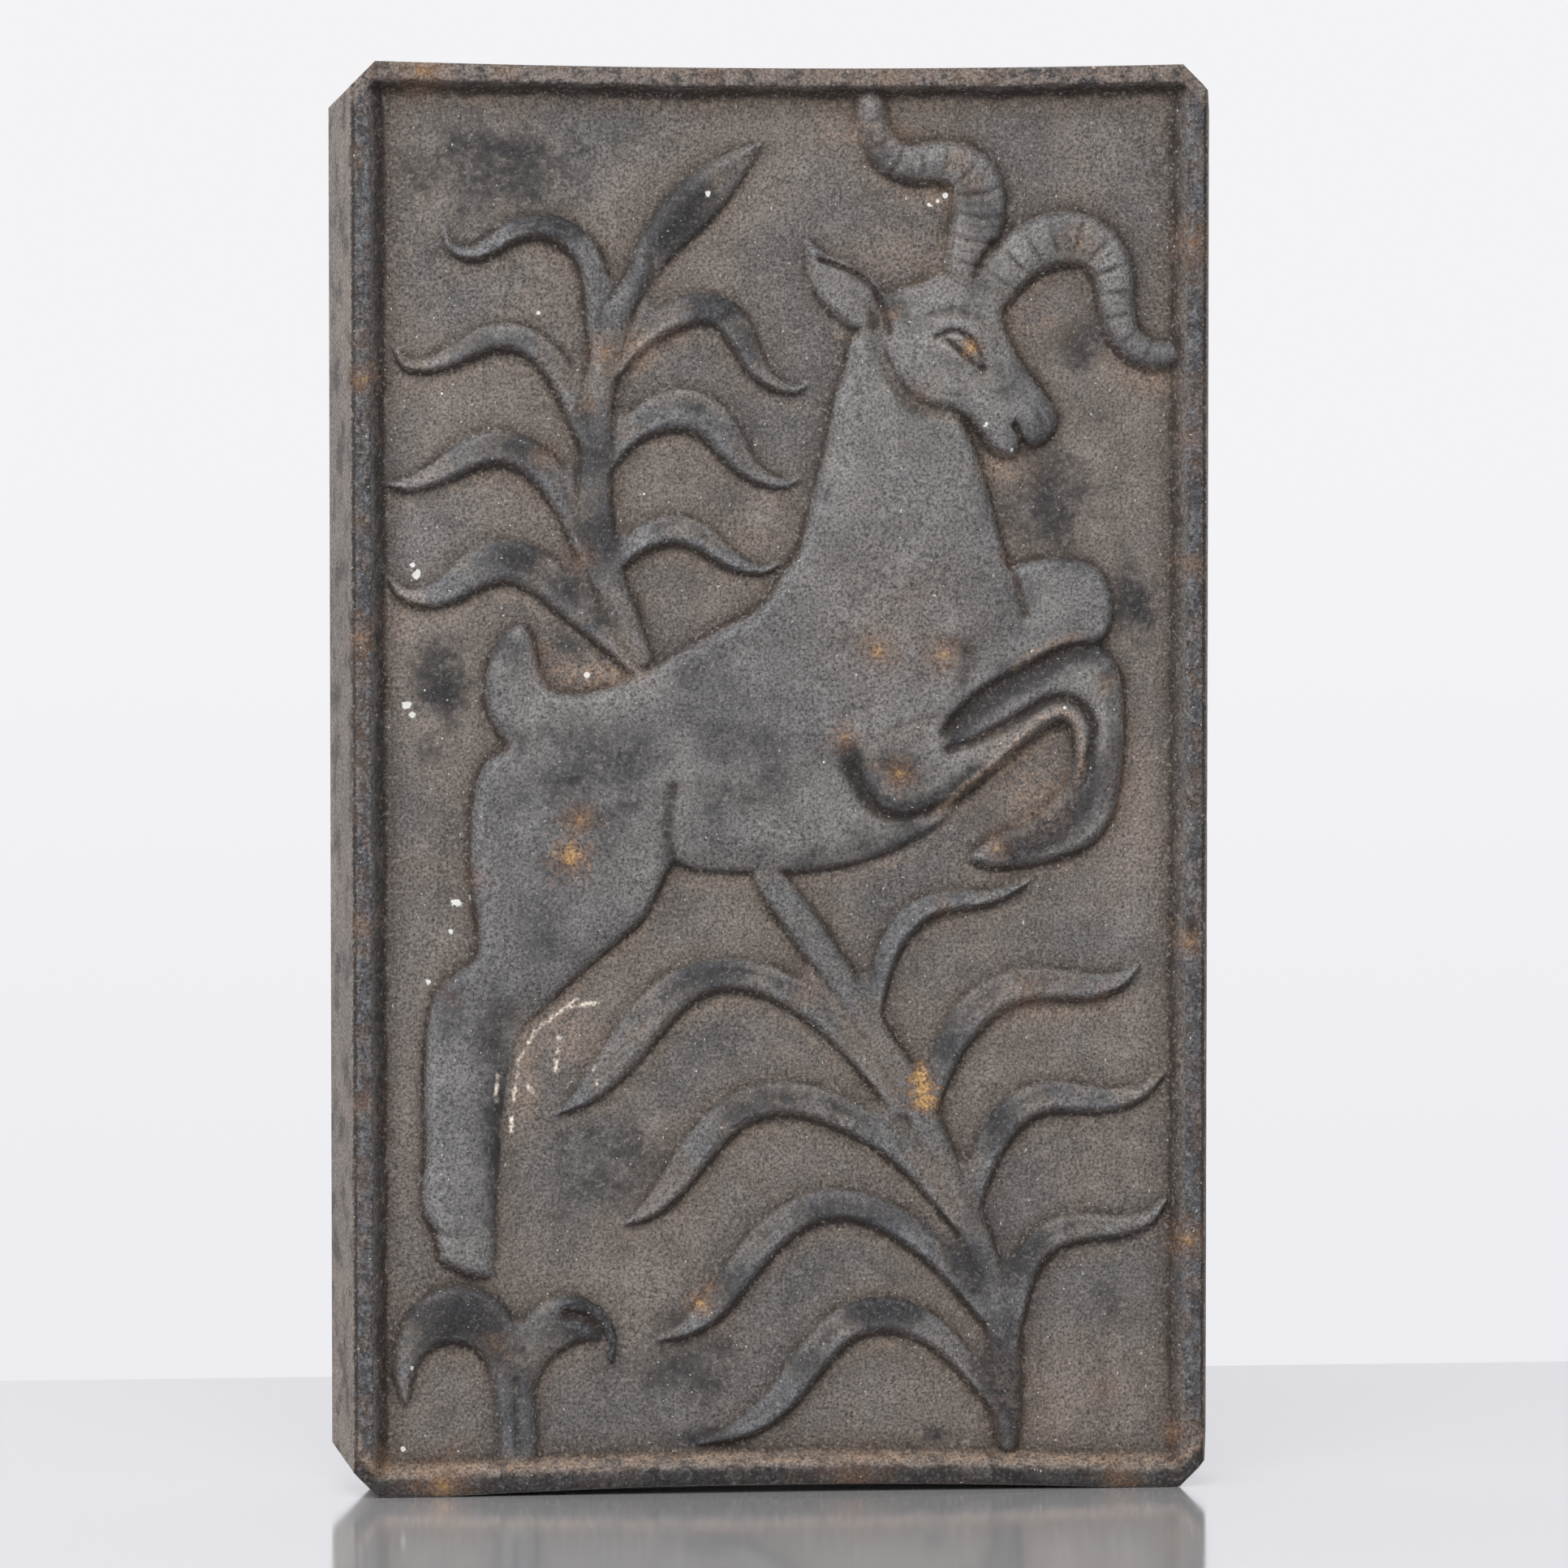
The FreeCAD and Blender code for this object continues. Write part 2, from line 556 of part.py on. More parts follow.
def pad_screws():
    """Round-headed screws down in the pads' counterbores."""
    screws = []
    bore_y = pad_back_y - pad_counterbore_depth
    for x in mirrored_pair(pad_spacing):
        cap = rod(pad_screw_head_radius, x, pad_level, bore_y, bore_y + pad_screw_head_height)
        shank = rod(pad_screw_radius, x, pad_level, pad_seat_y - pad_screw_engagement, bore_y + overshoot)
        screws.append(cap.fuse(shank).removeSplitter())
    return Part.makeCompound(screws)


nodes = {
    "plaque_casting": plaque_casting,
    "hanger_bar": hanger_bar,
    "hanger_washers": hanger_washers,
    "hanger_bolts": hanger_bolts,
    "bail_saddle": bail_saddle,
    "saddle_rivets": saddle_rivets,
    "hanging_bail": hanging_bail,
    "wall_pads": wall_pads,
    "pad_screws": pad_screws,
}

os.makedirs("parts", exist_ok=True)
for name, make in nodes.items():
    shape = make()
    print(name, "solids", len(shape.Solids), "faces", len(shape.Faces), "valid", shape.isValid(),
          "volume", round(shape.Volume))
    shape.exportStep("parts/" + name + ".step")
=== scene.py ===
# %% [markdown]
# # A cast iron relief plaque
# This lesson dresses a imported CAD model. The CAD solids are the fixed frame: they give every size and place,
# and nothing here moves them. The plaque is one iron casting with a leaping ibex and two leafy sprigs in low
# relief, and a small set of steel hardware in its hollow back.

# %% Load the frame
import math

import bmesh
import bpy
import numpy as np
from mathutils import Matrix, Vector


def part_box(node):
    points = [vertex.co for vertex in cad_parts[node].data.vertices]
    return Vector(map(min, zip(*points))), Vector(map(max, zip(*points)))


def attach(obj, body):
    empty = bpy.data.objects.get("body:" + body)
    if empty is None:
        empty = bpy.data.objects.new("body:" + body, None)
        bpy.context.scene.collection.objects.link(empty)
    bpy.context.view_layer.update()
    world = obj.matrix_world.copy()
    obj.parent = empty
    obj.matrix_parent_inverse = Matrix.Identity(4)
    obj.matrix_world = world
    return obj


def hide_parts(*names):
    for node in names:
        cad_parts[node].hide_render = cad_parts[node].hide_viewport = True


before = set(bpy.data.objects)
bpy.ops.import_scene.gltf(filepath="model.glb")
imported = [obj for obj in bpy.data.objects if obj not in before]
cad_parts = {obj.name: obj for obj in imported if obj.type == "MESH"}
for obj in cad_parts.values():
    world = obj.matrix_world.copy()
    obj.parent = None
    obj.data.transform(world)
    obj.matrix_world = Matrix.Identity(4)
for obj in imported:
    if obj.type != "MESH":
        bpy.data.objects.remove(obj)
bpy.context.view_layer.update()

scene = bpy.context.scene
mm = 0.001


def placed(name, data):
    """A new object in the scene."""
    made = bpy.data.objects.new(name, data)
    scene.collection.objects.link(made)
    return made


print("nodes", sorted(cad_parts))

# %% [markdown]
# ## Camera
# The photograph was taken square on from a little to the left, with a long lens. The camera's place and turn
# were fitted to the plaque's corners, so they are plain numbers: a place in millimetres, a turn about the
# upright, a tilt, and a lens angle.

# %% Camera
camera_place = Vector((-218.8, -2202.7, 307.8)) * mm
camera_turn = math.radians(-5.732)
camera_tilt = math.radians(-2.833)
lens_angle = math.radians(11.37)

camera = placed("camera", bpy.data.cameras.new("camera"))
camera.location = camera_place
camera.rotation_euler = (math.pi / 2 + camera_tilt, 0, camera_turn)
camera.data.sensor_width = 36
camera.data.angle = lens_angle
camera.data.clip_end = 50
scene.camera = camera
scene.view_settings.view_transform = "Standard"
print("lens", round(camera.data.lens, 1), "mm")

# %% [markdown]
# ## Node helpers
# Every finish below is a small tree of shader nodes. The helpers keep the trees short: they add a node and
# fill its sockets, mix two colours, turn a value into a soft mask, move it to another range, and do one step
# of arithmetic. Patterns read Object coordinates in metres, so a grain of 0.6 mm is written as 0.6 mm.

# %% Node helpers
def feed(tree, socket, value):
    """Link a socket to another one, or set its constant."""
    if isinstance(value, bpy.types.NodeSocket):
        tree.links.new(value, socket)
    else:
        socket.default_value = value


def add(tree, kind, values=None, **settings):
    """A node with its settings and its named inputs filled in."""
    made = tree.nodes.new(kind)
    for name, value in settings.items():
        setattr(made, name, value)
    for name, value in (values or {}).items():
        feed(tree, made.inputs[name], value)
    return made


def mixed(tree, factor, first, second, blend_type="MIX"):
    """Two colours mixed by a factor."""
    blend = add(tree, "ShaderNodeMix", data_type="RGBA", blend_type=blend_type)
    feed(tree, blend.inputs[0], factor)
    feed(tree, blend.inputs[6], first)
    feed(tree, blend.inputs[7], second)
    return blend.outputs[2]


def mask(tree, value, low, high):
    """A soft mask: 0 below low, 1 above high."""
    made = add(tree, "ShaderNodeMapRange", {"Value": value, "From Min": low, "From Max": high},
               interpolation_type="SMOOTHSTEP")
    return made.outputs[0]


def maths(tree, operation, first, second):
    """One step of arithmetic."""
    made = add(tree, "ShaderNodeMath", operation=operation)
    feed(tree, made.inputs[0], first)
    feed(tree, made.inputs[1], second)
    return made.outputs[0]


def times(tree, first, second):
    """Two values multiplied."""
    return maths(tree, "MULTIPLY", first, second)


def plus(tree, first, second):
    """Two values added."""
    return maths(tree, "ADD", first, second)


def ranged(tree, value, low, high, to_low, to_high):
    """A value moved from one range to another."""
    return add(tree, "ShaderNodeMapRange", {"Value": value, "From Min": low, "From Max": high,
                                            "To Min": to_low, "To Max": to_high}).outputs[0]


def toned(tree, skin, tone):
    """A colour made lighter or darker by a value."""
    grey = tree.nodes.new("ShaderNodeCombineColor")
    for channel in range(3):
        feed(tree, grey.inputs[channel], tone)
    return mixed(tree, 1.0, skin, grey.outputs[0], "MULTIPLY")


def noise(tree, coordinates, grain, detail=2.0, roughness=0.5):
    """Cloudy noise with a grain given in millimetres."""
    made = add(tree, "ShaderNodeTexNoise", {"Vector": coordinates, "Scale": 1 / (grain * mm),
                                            "Detail": detail, "Roughness": roughness})
    return made.outputs[0]


def colour(red, green, blue):
    """A linear colour with full alpha."""
    return (red, green, blue, 1.0)


def new_material(name):
    """An empty material: its tree, its shader and its Object coordinates."""
    material = bpy.data.materials.new(name)
    material.use_nodes = True
    tree = material.node_tree
    shader = tree.nodes["Principled BSDF"]
    place = tree.nodes.new("ShaderNodeTexCoord").outputs["Object"]
    return material, tree, shader, place


def new_group(name, kind, inputs, output):
    """A node group with typed inputs and one typed output: the group, what it is given and its result."""
    group = bpy.data.node_groups.new(name, kind)
    for label, socket in inputs.items():
        group.interface.new_socket(label, in_out="INPUT", socket_type="NodeSocket" + socket)
    label, socket = output
    group.interface.new_socket(label, in_out="OUTPUT", socket_type="NodeSocket" + socket)
    given = group.nodes.new("NodeGroupInput").outputs
    result = group.nodes.new("NodeGroupOutput").inputs[label]
    return group, given, result


def seen_directly(tree):
    """1 for rays of the eye, of mirrors and of glass, and 0 for rays that only carry light."""
    path = tree.nodes.new("ShaderNodeLightPath").outputs
    seen = plus(tree, path["Is Camera Ray"], path["Is Glossy Ray"])
    return plus(tree, seen, path["Is Transmission Ray"])


# %% [markdown]
# ## Stage
# The plaque stands on a glossy pale top a hand's width in front of a white wall. The floor is a plain pale
# gloss, so that it keeps the shadow and mirrors the foot of the plaque. The wall shines only for the eye and
# for mirrors, and lets the light through from behind, so that the back can be looked at too.

# %% Stage
wall_depth = 258 * mm
stage_reach = 6.0
stage_level = -0.1 * mm
stage_corners = [(-stage_reach, -stage_reach), (stage_reach, -stage_reach),
                 (stage_reach, stage_reach), (-stage_reach, stage_reach)]


def flat_sheet(name, corners):
    """One four-cornered face."""
    mesh = bpy.data.meshes.new(name)
    mesh.from_pydata(corners, [], [(0, 1, 2, 3)])
    sheet = placed(name, mesh)
    return sheet


floor = flat_sheet("floor", [(x, y, stage_level) for x, y in stage_corners])
wall = flat_sheet("wall", [(x, wall_depth, max(z, stage_level)) for x, z in stage_corners])

floor_finish, tree, shader, place = new_material("pale_gloss_top")
shader.inputs["Base Color"].default_value = colour(0.71, 0.71, 0.73)
shader.inputs["Metallic"].default_value = 0.6
shader.inputs["Roughness"].default_value = 0.11
floor.data.materials.append(floor_finish)

wall_finish, tree, shader, place = new_material("white_wall")
shader.inputs["Base Color"].default_value = colour(0.8, 0.8, 0.8)
shader.inputs["Roughness"].default_value = 0.9
# Painted shade: the wall's glow is a little darker in its lowest 30 cm, next to the floor.
height_up = add(tree, "ShaderNodeSeparateXYZ", {"Vector": place}).outputs["Z"]
glow = add(tree, "ShaderNodeEmission", {"Strength": 1.0})
feed(tree, glow.inputs["Color"], mixed(tree, mask(tree, height_up, 0.0, 0.30),
                                       colour(0.85, 0.85, 0.885), colour(0.90, 0.90, 0.92)))
front_side = add(tree, "ShaderNodeMixShader", {"Fac": seen_directly(tree)})
feed(tree, front_side.inputs[1], shader.outputs[0])
feed(tree, front_side.inputs[2], glow.outputs[0])
behind = tree.nodes.new("ShaderNodeNewGeometry").outputs["Backfacing"]
either = add(tree, "ShaderNodeMixShader", {"Fac": behind})
feed(tree, either.inputs[1], front_side.outputs[0])
feed(tree, either.inputs[2], tree.nodes.new("ShaderNodeBsdfTransparent").outputs[0])
feed(tree, tree.nodes["Material Output"].inputs["Surface"], either.outputs[0])
wall.data.materials.append(wall_finish)

# %% [markdown]
# ## Light
# The photograph has soft studio light from above and in front, with no hard shadow. One broad lamp overhead
# gives the relief its lit upper edges, a weaker one from the left keeps the side wall readable, a third
# stands behind and lights the back, and an even white world fills the rest.

# %% Light
lamp_target = Vector((0, 0, 0.2))


def soft_lamp(name, spot, size, power):
    """A square area lamp that looks at the middle of the plaque."""
    lamp = placed(name, bpy.data.lights.new(name, "AREA"))
    lamp.data.size = size
    lamp.data.energy = power
    lamp.location = spot
    lamp.rotation_euler = (lamp_target - Vector(spot)).to_track_quat("-Z", "Y").to_euler()


soft_lamp("overhead_lamp", (-0.25, -1.15, 1.75), 1.1, 30)
soft_lamp("left_lamp", (-1.7, -0.75, 0.75), 1.0, 11)
soft_lamp("rear_lamp", (0.8, 1.9, 1.3), 1.2, 22)

world = bpy.data.worlds.new("even_white")
scene.world = world
world.use_nodes = True
sky_tree = world.node_tree
sky = sky_tree.nodes["Background"]
sky.inputs["Color"].default_value = colour(1.0, 1.0, 1.0)
feed(sky_tree, sky.inputs["Strength"], ranged(sky_tree, seen_directly(sky_tree), 0.0, 1.0, 0.50, 0.90))

# %% [markdown]
# ## Sizes of the casting
# Outer sizes come from the frame. The few others repeat the drawing of the part: rim, cut corners, bowed top
# and foot. From here to the mesh everything is in millimetres, with heights measured from the middle of the
# field, as the picture was drawn.

# %% Sizes of the casting
low_corner, high_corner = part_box("plaque_casting")
front_level = low_corner.y / mm
back_level = high_corner.y / mm
plaque_height = (high_corner.z - low_corner.z) / mm
middle = plaque_height / 2
back_half = high_corner.x / mm
side_flare = 5.0
front_half = back_half - side_flare
corner_cut = 7.0
flat_end = front_half - corner_cut
foot_land = 18.0
foot_rise = 2.2
top_dip = 1.6
rim_width = 5.0
rim_slope = 4.5
rim_slope_top = 2.2
rim_height = 5.5
field_level = front_level + rim_height


def unit(values):
    """Values held between 0 and 1."""
    return np.clip(values, 0, 1)


def positive(values):
    """Values held at 0 or above."""
    return np.clip(values, 0, None)


def foot_line(x, arch_share=1.0):
    """Height of the lower edge: two lands, an arch between them and the cut corners."""
    arch = arch_share * foot_rise * positive(1 - (x / (flat_end - foot_land)) ** 2)
    return arch + positive(np.abs(x) - flat_end) - middle


def top_line(x):
    """Height of the upper edge: a slight dip and the cut corners."""
    dip = top_dip * positive(1 - (x / flat_end) ** 2)
    return middle - dip - positive(np.abs(x) - flat_end)


grid_step = 0.5
columns = round(2 * front_half / grid_step) + 1
rows = round(plaque_height / grid_step) + 1
grid_x = np.repeat(np.linspace(-front_half, front_half, columns)[None, :], rows, axis=0)
row_share = np.linspace(0, 1, rows)[:, None]
grid_z = foot_line(grid_x) + row_share * (top_line(grid_x) - foot_line(grid_x))
print("front grid", rows, "by", columns)

# %% [markdown]
# ## The drawing
# A pattern maker draws each leaf as a bent strip: a middle line with a half width at every point. The same
# rows of (x, z, half width) drive the CAD solids, there a little plainer. The ibex is drawn by outlines
# instead, because its muzzle, tail and hoof are not strips.

# %% Leaves and stems
upper_leaves = [
    [(-93.5, 154, 0.6), (-91.8, 148.8, 1.6), (-86, 146.9, 2.2), (-79.8, 149.6, 2.9), (-74.8, 153, 3.4),
     (-67.3, 154.6, 3.7), (-59.8, 152.3, 3.9), (-54.4, 147, 4.0), (-51.6, 139, 4.0), (-51, 129, 3.6),
     (-50.5, 120, 3.0)],
    [(-107, 120.5, 0.6), (-104.5, 116.4, 1.7), (-98.5, 116, 2.3), (-92, 118.2, 3.0), (-85.5, 121.6, 3.8),
     (-78, 123.8, 4.2), (-71.5, 122.6, 4.3), (-65.5, 118.5, 4.2), (-60.8, 112, 4.0), (-57.3, 104, 3.6),
     (-54.5, 96, 3.0)],
    [(-109.5, 83, 0.6), (-104, 82.8, 2.2), (-97.5, 85, 3.2), (-90, 89, 4.4), (-83, 92.4, 5.2),
     (-76, 92.6, 5.4), (-69.5, 89.6, 5.2), (-63.8, 84, 4.8), (-59.6, 77, 4.2), (-56, 68, 3.4),
     (-53, 60, 2.6)],
    [(-109, 57, 0.6), (-105.5, 52.5, 2.0), (-99, 51.4, 3.2), (-92, 54, 4.6), (-86, 58.2, 5.8),
     (-79.5, 61, 6.4), (-73, 60.6, 6.4), (-66.5, 57, 6.0), (-60, 51.3, 5.4), (-53.5, 45, 4.6),
     (-47, 38.5, 3.6), (-41.5, 32.5, 2.4)],
    [(7.5, 110.5, 0.6), (3.5, 109.2, 1.4), (-2, 111.3, 2.2), (-7, 116, 3.2), (-10.3, 122.8, 4.0),
     (-14.8, 129.3, 4.6), (-21.5, 131.8, 4.7), (-29, 129.8, 4.4), (-36, 125.5, 3.8), (-42, 120.2, 3.2),
     (-47, 113.5, 2.6)],
    [(5.5, 84.5, 0.6), (2, 83, 1.4), (-3.5, 84, 2.2), (-9, 87.5, 3.4), (-13.6, 93, 4.8),
     (-18.5, 99.4, 5.8), (-25, 103, 6.4), (-32, 102.8, 6.0), (-39, 99.6, 4.8), (-44.5, 94.5, 3.6),
     (-48.5, 88, 2.6)],
    [(-0.5, 60.5, 0.6), (-5, 58.8, 1.4), (-11.5, 60.4, 2.4), (-17, 64, 3.4), (-22.4, 68, 4.2),
     (-29, 70, 4.4), (-36, 68.6, 4.2), (-42, 65, 3.6), (-47, 59.5, 2.6)],
]
lower_leaves = [
    [(-63, -93.2, 0.6), (-55.5, -88.5, 3.0), (-48.5, -81.5, 5.0), (-42.5, -74, 6.0), (-36.3, -66, 6.2),
     (-29.5, -59.4, 5.8), (-21, -55.4, 5.0), (-11.5, -54.6, 4.8), (-2.5, -57, 4.8), (6, -61.7, 4.6),
     (14, -68.5, 4.0), (22, -77.5, 3.2), (29, -87, 2.4)],
    [(-44, -124.4, 0.6), (-37, -120.5, 2.8), (-31, -114.5, 4.2), (-25.5, -107, 5.0), (-19.5, -99.5, 5.2),
     (-12.5, -93.4, 5.2), (-4.5, -90.2, 5.3), (4.5, -89.8, 5.2), (13.5, -92.2, 5.0), (22.5, -96.6, 4.6),
     (31, -102.5, 4.0), (39, -110.5, 3.2), (46, -119.5, 2.4)],
    [(-34.5, -157, 0.6), (-26.5, -154, 2.8), (-19.5, -148.7, 4.2), (-13.5, -141.5, 4.8), (-8, -134, 5.0),
     (-1.8, -127.4, 5.0), (5.5, -122.2, 4.9), (13.5, -119.8, 4.8), (22, -120.4, 4.7), (30.5, -123.6, 4.6),
     (38.5, -129, 4.2), (46, -136.2, 3.4), (53.5, -145.5, 2.4)],
    [(-23, -186.2, 0.6), (-14.5, -184, 2.4), (-6.5, -180, 3.8), (0.5, -174, 4.6), (6, -167, 5.0),
     (11.5, -160, 5.2), (18, -154, 5.4), (26, -151, 5.4), (34.5, -151.6, 5.2), (42.5, -155.4, 4.6),
     (50, -162, 3.8), (57, -171, 2.6)],
    [(70.8, -28.4, 0.6), (64, -31.7, 1.8), (57, -33.6, 2.6), (49.5, -34.2, 3.1), (42, -35.8, 3.5),
     (35.6, -40.4, 3.8), (31, -47.4, 3.6), (28.6, -55.5, 2.8), (28, -63, 1.2)],
    [(101.8, -52.4, 0.6), (96.5, -56.6, 2.6), (88.5, -58.7, 4.0), (79, -58.2, 4.8), (70.5, -58, 5.1),
     (62.5, -60.4, 5.4), (55.5, -65.2, 5.5), (50, -72, 5.0), (46, -80, 4.2), (43.5, -88, 3.0)],
    [(108.8, -83, 0.6), (102.5, -88.2, 2.4), (94.5, -90.6, 3.6), (86, -90.4, 4.4), (77.5, -89.8, 4.8),
     (69.8, -91.8, 5.0), (63.8, -96.6, 5.0), (59.6, -103.5, 4.4), (56.8, -111.5, 3.4), (55.6, -118, 2.2)],
    [(109.5, -118.7, 0.6), (104.5, -124, 2.4), (96.5, -126.4, 3.4), (87.5, -126.6, 4.2), (79.6, -128, 4.6),
     (73, -132.4, 4.6), (69, -139.2, 4.2), (67, -147.5, 3.6), (66, -155, 2.6)],
]
bud = [(-41, 136, 3.8), (-36, 147, 4.6), (-28, 157, 6.4), (-19, 166, 5.8), (-11, 173, 3.4), (-5, 177.5, 0.6)]
stems = [
    [(-38, 34, 3.0), (-43.5, 45, 4.9), (-48, 56, 5.3), (-51.5, 73, 5.4), (-51.8, 92, 5.3),
     (-51, 106, 5.2), (-48.5, 121, 5.0), (-44.5, 132, 4.5), (-39, 142, 3.8)],
    [(-6, -21, 5.4), (-1, -30, 5.6), (8.5, -44, 5.4), (18, -58, 5.2), (29, -76, 5.2), (37, -88, 5.3),
     (43, -102, 5.2), (51, -119, 5.1), (56.5, -132.5, 5.0), (60.8, -145, 5.0), (63.3, -158, 5.2),
     (64, -170, 5.2), (64.3, -181, 4.7), (64.6, -188, 3.2)],
]
sprout_left = [(-105.3, -174, 1.0), (-105.6, -166, 3.4), (-103, -157.5, 5.6), (-97.5, -151.4, 8.0),
               (-90.5, -149.4, 9.0), (-83.5, -152, 8.4), (-78.5, -158, 7.0), (-75.5, -166, 6.2),
               (-74.2, -178, 6.0), (-74, -189, 6.0)]
sprout_right = [(-47.3, -163, 0.8), (-48.4, -157.5, 2.8), (-52, -153.1, 5.4), (-59, -151.2, 7.6),
                (-65.5, -153.8, 8.0), (-70, -160.5, 6.2), (-73, -170, 4.2)]
horn_left = [(52.5, 139, 7.4), (54.3, 150, 7.9), (55.8, 159, 8.2), (55, 166.5, 8.0), (51, 171, 7.4),
             (45, 172.6, 6.8), (37, 172.2, 6.3), (31, 174.6, 5.8), (27.2, 180, 5.3), (25.6, 186, 4.9),
             (25.4, 190.5, 4.6)]
horn_right = [(59, 136.5, 7.2), (66.5, 145.5, 7.9), (74, 150, 8.3), (82.5, 151.4, 8.3), (89.5, 148.4, 7.6),
              (93.8, 141.5, 6.6), (94.8, 133, 5.9), (96.8, 125, 5.4), (102, 119.9, 5.1), (107, 118.6, 5.0),
              (109.6, 118.8, 4.7)]
ear = [(7.6, 150.3, 0.8), (11, 143.5, 4.6), (16.5, 138, 7.4), (22.5, 133, 7.8), (28.5, 128.5, 6.0)]

# %% Outlines of the ibex
body_outline = [
    (20, 124), (18, 115.5), (15, 108), (13.8, 102), (11.9, 92.5), (9.4, 82.5), (6.9, 72.5), (4.4, 63.8),
    (0, 57.5), (-6, 48.8), (-17.3, 42.5), (-31, 35), (-38.5, 31.3), (-46, 27.5), (-56, 25), (-63, 26),
    (-66.6, 30.5), (-69, 40), (-72.5, 44), (-77.5, 41.5), (-81, 36), (-83, 28), (-82.5, 20), (-80, 14),
    (-77.5, 9.5), (-83, 5.5), (-86.6, -5), (-87.3, -25), (-85.4, -40), (-86, -49), (-93, -54.5),
    (-98.5, -62.5), (-100.4, -85), (-100, -103), (-101, -112), (-100.4, -121), (-98, -126), (-96.6, -131.2),
    (-95.5, -135), (-90, -138), (-84, -139.5), (-80, -138), (-79.5, -125), (-78, -103), (-76.6, -87.5),
    (-73.5, -74), (-69.8, -69), (-57, -56.2), (-46, -47), (-37, -39), (-32, -28.5), (-29, -25), (-24, -26.5),
    (-8.5, -27.3), (10, -27), (27.5, -23), (42.5, -16), (50, -9.5), (58, -2.5), (67, 5), (76, 13), (84, 24),
    (80, 36), (72, 42), (68.8, 47.5), (65, 61), (63, 68.8), (60, 77.5), (57.5, 86.3), (55, 93.8), (50, 106),
    (42, 120), (30, 130),
]
head_outline = [
    (26.5, 133), (27.3, 124), (28.5, 117.5), (34, 108), (41, 103.2), (48, 102.2), (53, 99.5), (56.5, 95),
    (59.5, 91), (63.5, 89.3), (67, 90.5), (68.8, 93), (72, 92.6), (76, 95), (78.4, 100), (77.5, 104),
    (75.2, 108), (69.2, 115.8), (65, 123.5), (63.3, 129.5), (65.5, 134), (68, 138), (62, 142.5), (56, 141),
    (47, 143), (39, 139.5), (32, 137.5),
]
foreleg_outline = [
    (50, 21), (57.5, 27), (65, 31), (77.5, 37.3), (85, 38.8), (91, 37.3), (95, 32.5), (97.3, 25), (97.6, 10),
    (96, -5), (93.3, -13), (87.5, -19.3), (76, -23.7), (64, -25.4), (57, -25), (53.3, -22.4), (56, -18.6),
    (62.5, -15), (72, -10.5), (78, -4.5), (82, 2), (82.8, 9), (81, 14.8), (76, 14.2), (62.5, 3.5),
    (51, -6), (45, -8), (37.5, -10.8), (31, -10.8), (25.5, -7), (20.6, 2.2), (16.5, 9), (22, 16.5), (35, 21),
]
far_leg_outline = [(60, 58), (66, 60.5), (75, 62.3), (82.5, 62.2), (89, 60), (92.7, 55), (94.4, 49), (93, 41),
                   (86, 34), (70, 28), (58, 38)]
print("strips", len(upper_leaves) + len(lower_leaves) + len(stems) + 6)

# %% [markdown]
# ## From drawing to heights
# Low relief is a height above the field at every point of the face, so it can be worked out on a grid, as a
# carving machine would. For each strip the grid asks how far a point lies from the middle line; for each
# outline it asks how deep inside a point lies. A profile then turns that distance into a height, and the
# higher of two neighbours wins. Sculpting by hand would also do, but it can't be written down.

# %% Distances on the grid
def smooth_line(points, closed=False, steps=4):
    """A soft curve through given points."""
    knots = np.array(points, float)
    if closed:
        knots = np.vstack([knots[-1:], knots, knots[:2]])
    else:
        knots = np.vstack([2 * knots[0] - knots[1], knots, 2 * knots[-1] - knots[-2]])
    t = np.linspace(0, 1, steps, endpoint=False)[:, None]
    spans = []
    for a, b, c, d in zip(knots[:-3], knots[1:-2], knots[2:-1], knots[3:]):
        bend = 2 * a - 5 * b + 4 * c - d
        twist = 3 * b - a - 3 * c + d
        spans.append(0.5 * (2 * b + (c - a) * t + bend * t ** 2 + twist * t ** 3))
    return np.vstack(spans + [knots[-2:-1]])


def window(line, margin):
    """The part of the grid around a line."""
    slack = foot_rise + 2 * margin
    left, low = line[:, :2].min(axis=0)
    right, high = line[:, :2].max(axis=0)
    first_column = max(int((left - margin + front_half) / grid_step), 0)
    last_column = min(int((right + margin + front_half) / grid_step) + 2, columns)
    first_row = max(int((low - slack + middle) / grid_step), 0)
    last_row = min(int((high + slack + middle) / grid_step) + 2, rows)
    return np.s_[first_row:last_row, first_column:last_column]


def nearest_on(line, x, z):
    """Distance to a line, the side (1 is left of the line's run) and the place along the line."""
    best = np.full(x.shape, 1e9)
    along = np.zeros(x.shape)
    side = np.ones(x.shape)
    for number, (start, end) in enumerate(zip(line[:-1], line[1:])):
        run_x, run_z = end[0] - start[0], end[1] - start[1]
        off_x, off_z = x - start[0], z - start[1]
        t = unit((off_x * run_x + off_z * run_z) / (run_x ** 2 + run_z ** 2))
        gap = (off_x - t * run_x) ** 2 + (off_z - t * run_z) ** 2
        closer = gap < best
        best = np.where(closer, gap, best)
        along = np.where(closer, number + t, along)
        side = np.where(closer, np.sign(run_x * off_z - run_z * off_x), side)
    return np.sqrt(best), side, along


def depth_inside(outline, x, z):
    """How deep a point lies inside a closed outline; negative outside."""
    gap, side, along = nearest_on(outline, x, z)
    inside = np.zeros(x.shape, bool)
    for start, end in zip(outline[:-1], outline[1:]):
        if start[1] == end[1]:
            continue
        crossing = start[0] + (end[0] - start[0]) * (z - start[1]) / (end[1] - start[1])
        inside ^= ((start[1] > z) != (end[1] > z)) & (x < crossing)
    return np.where(inside, gap, -gap)


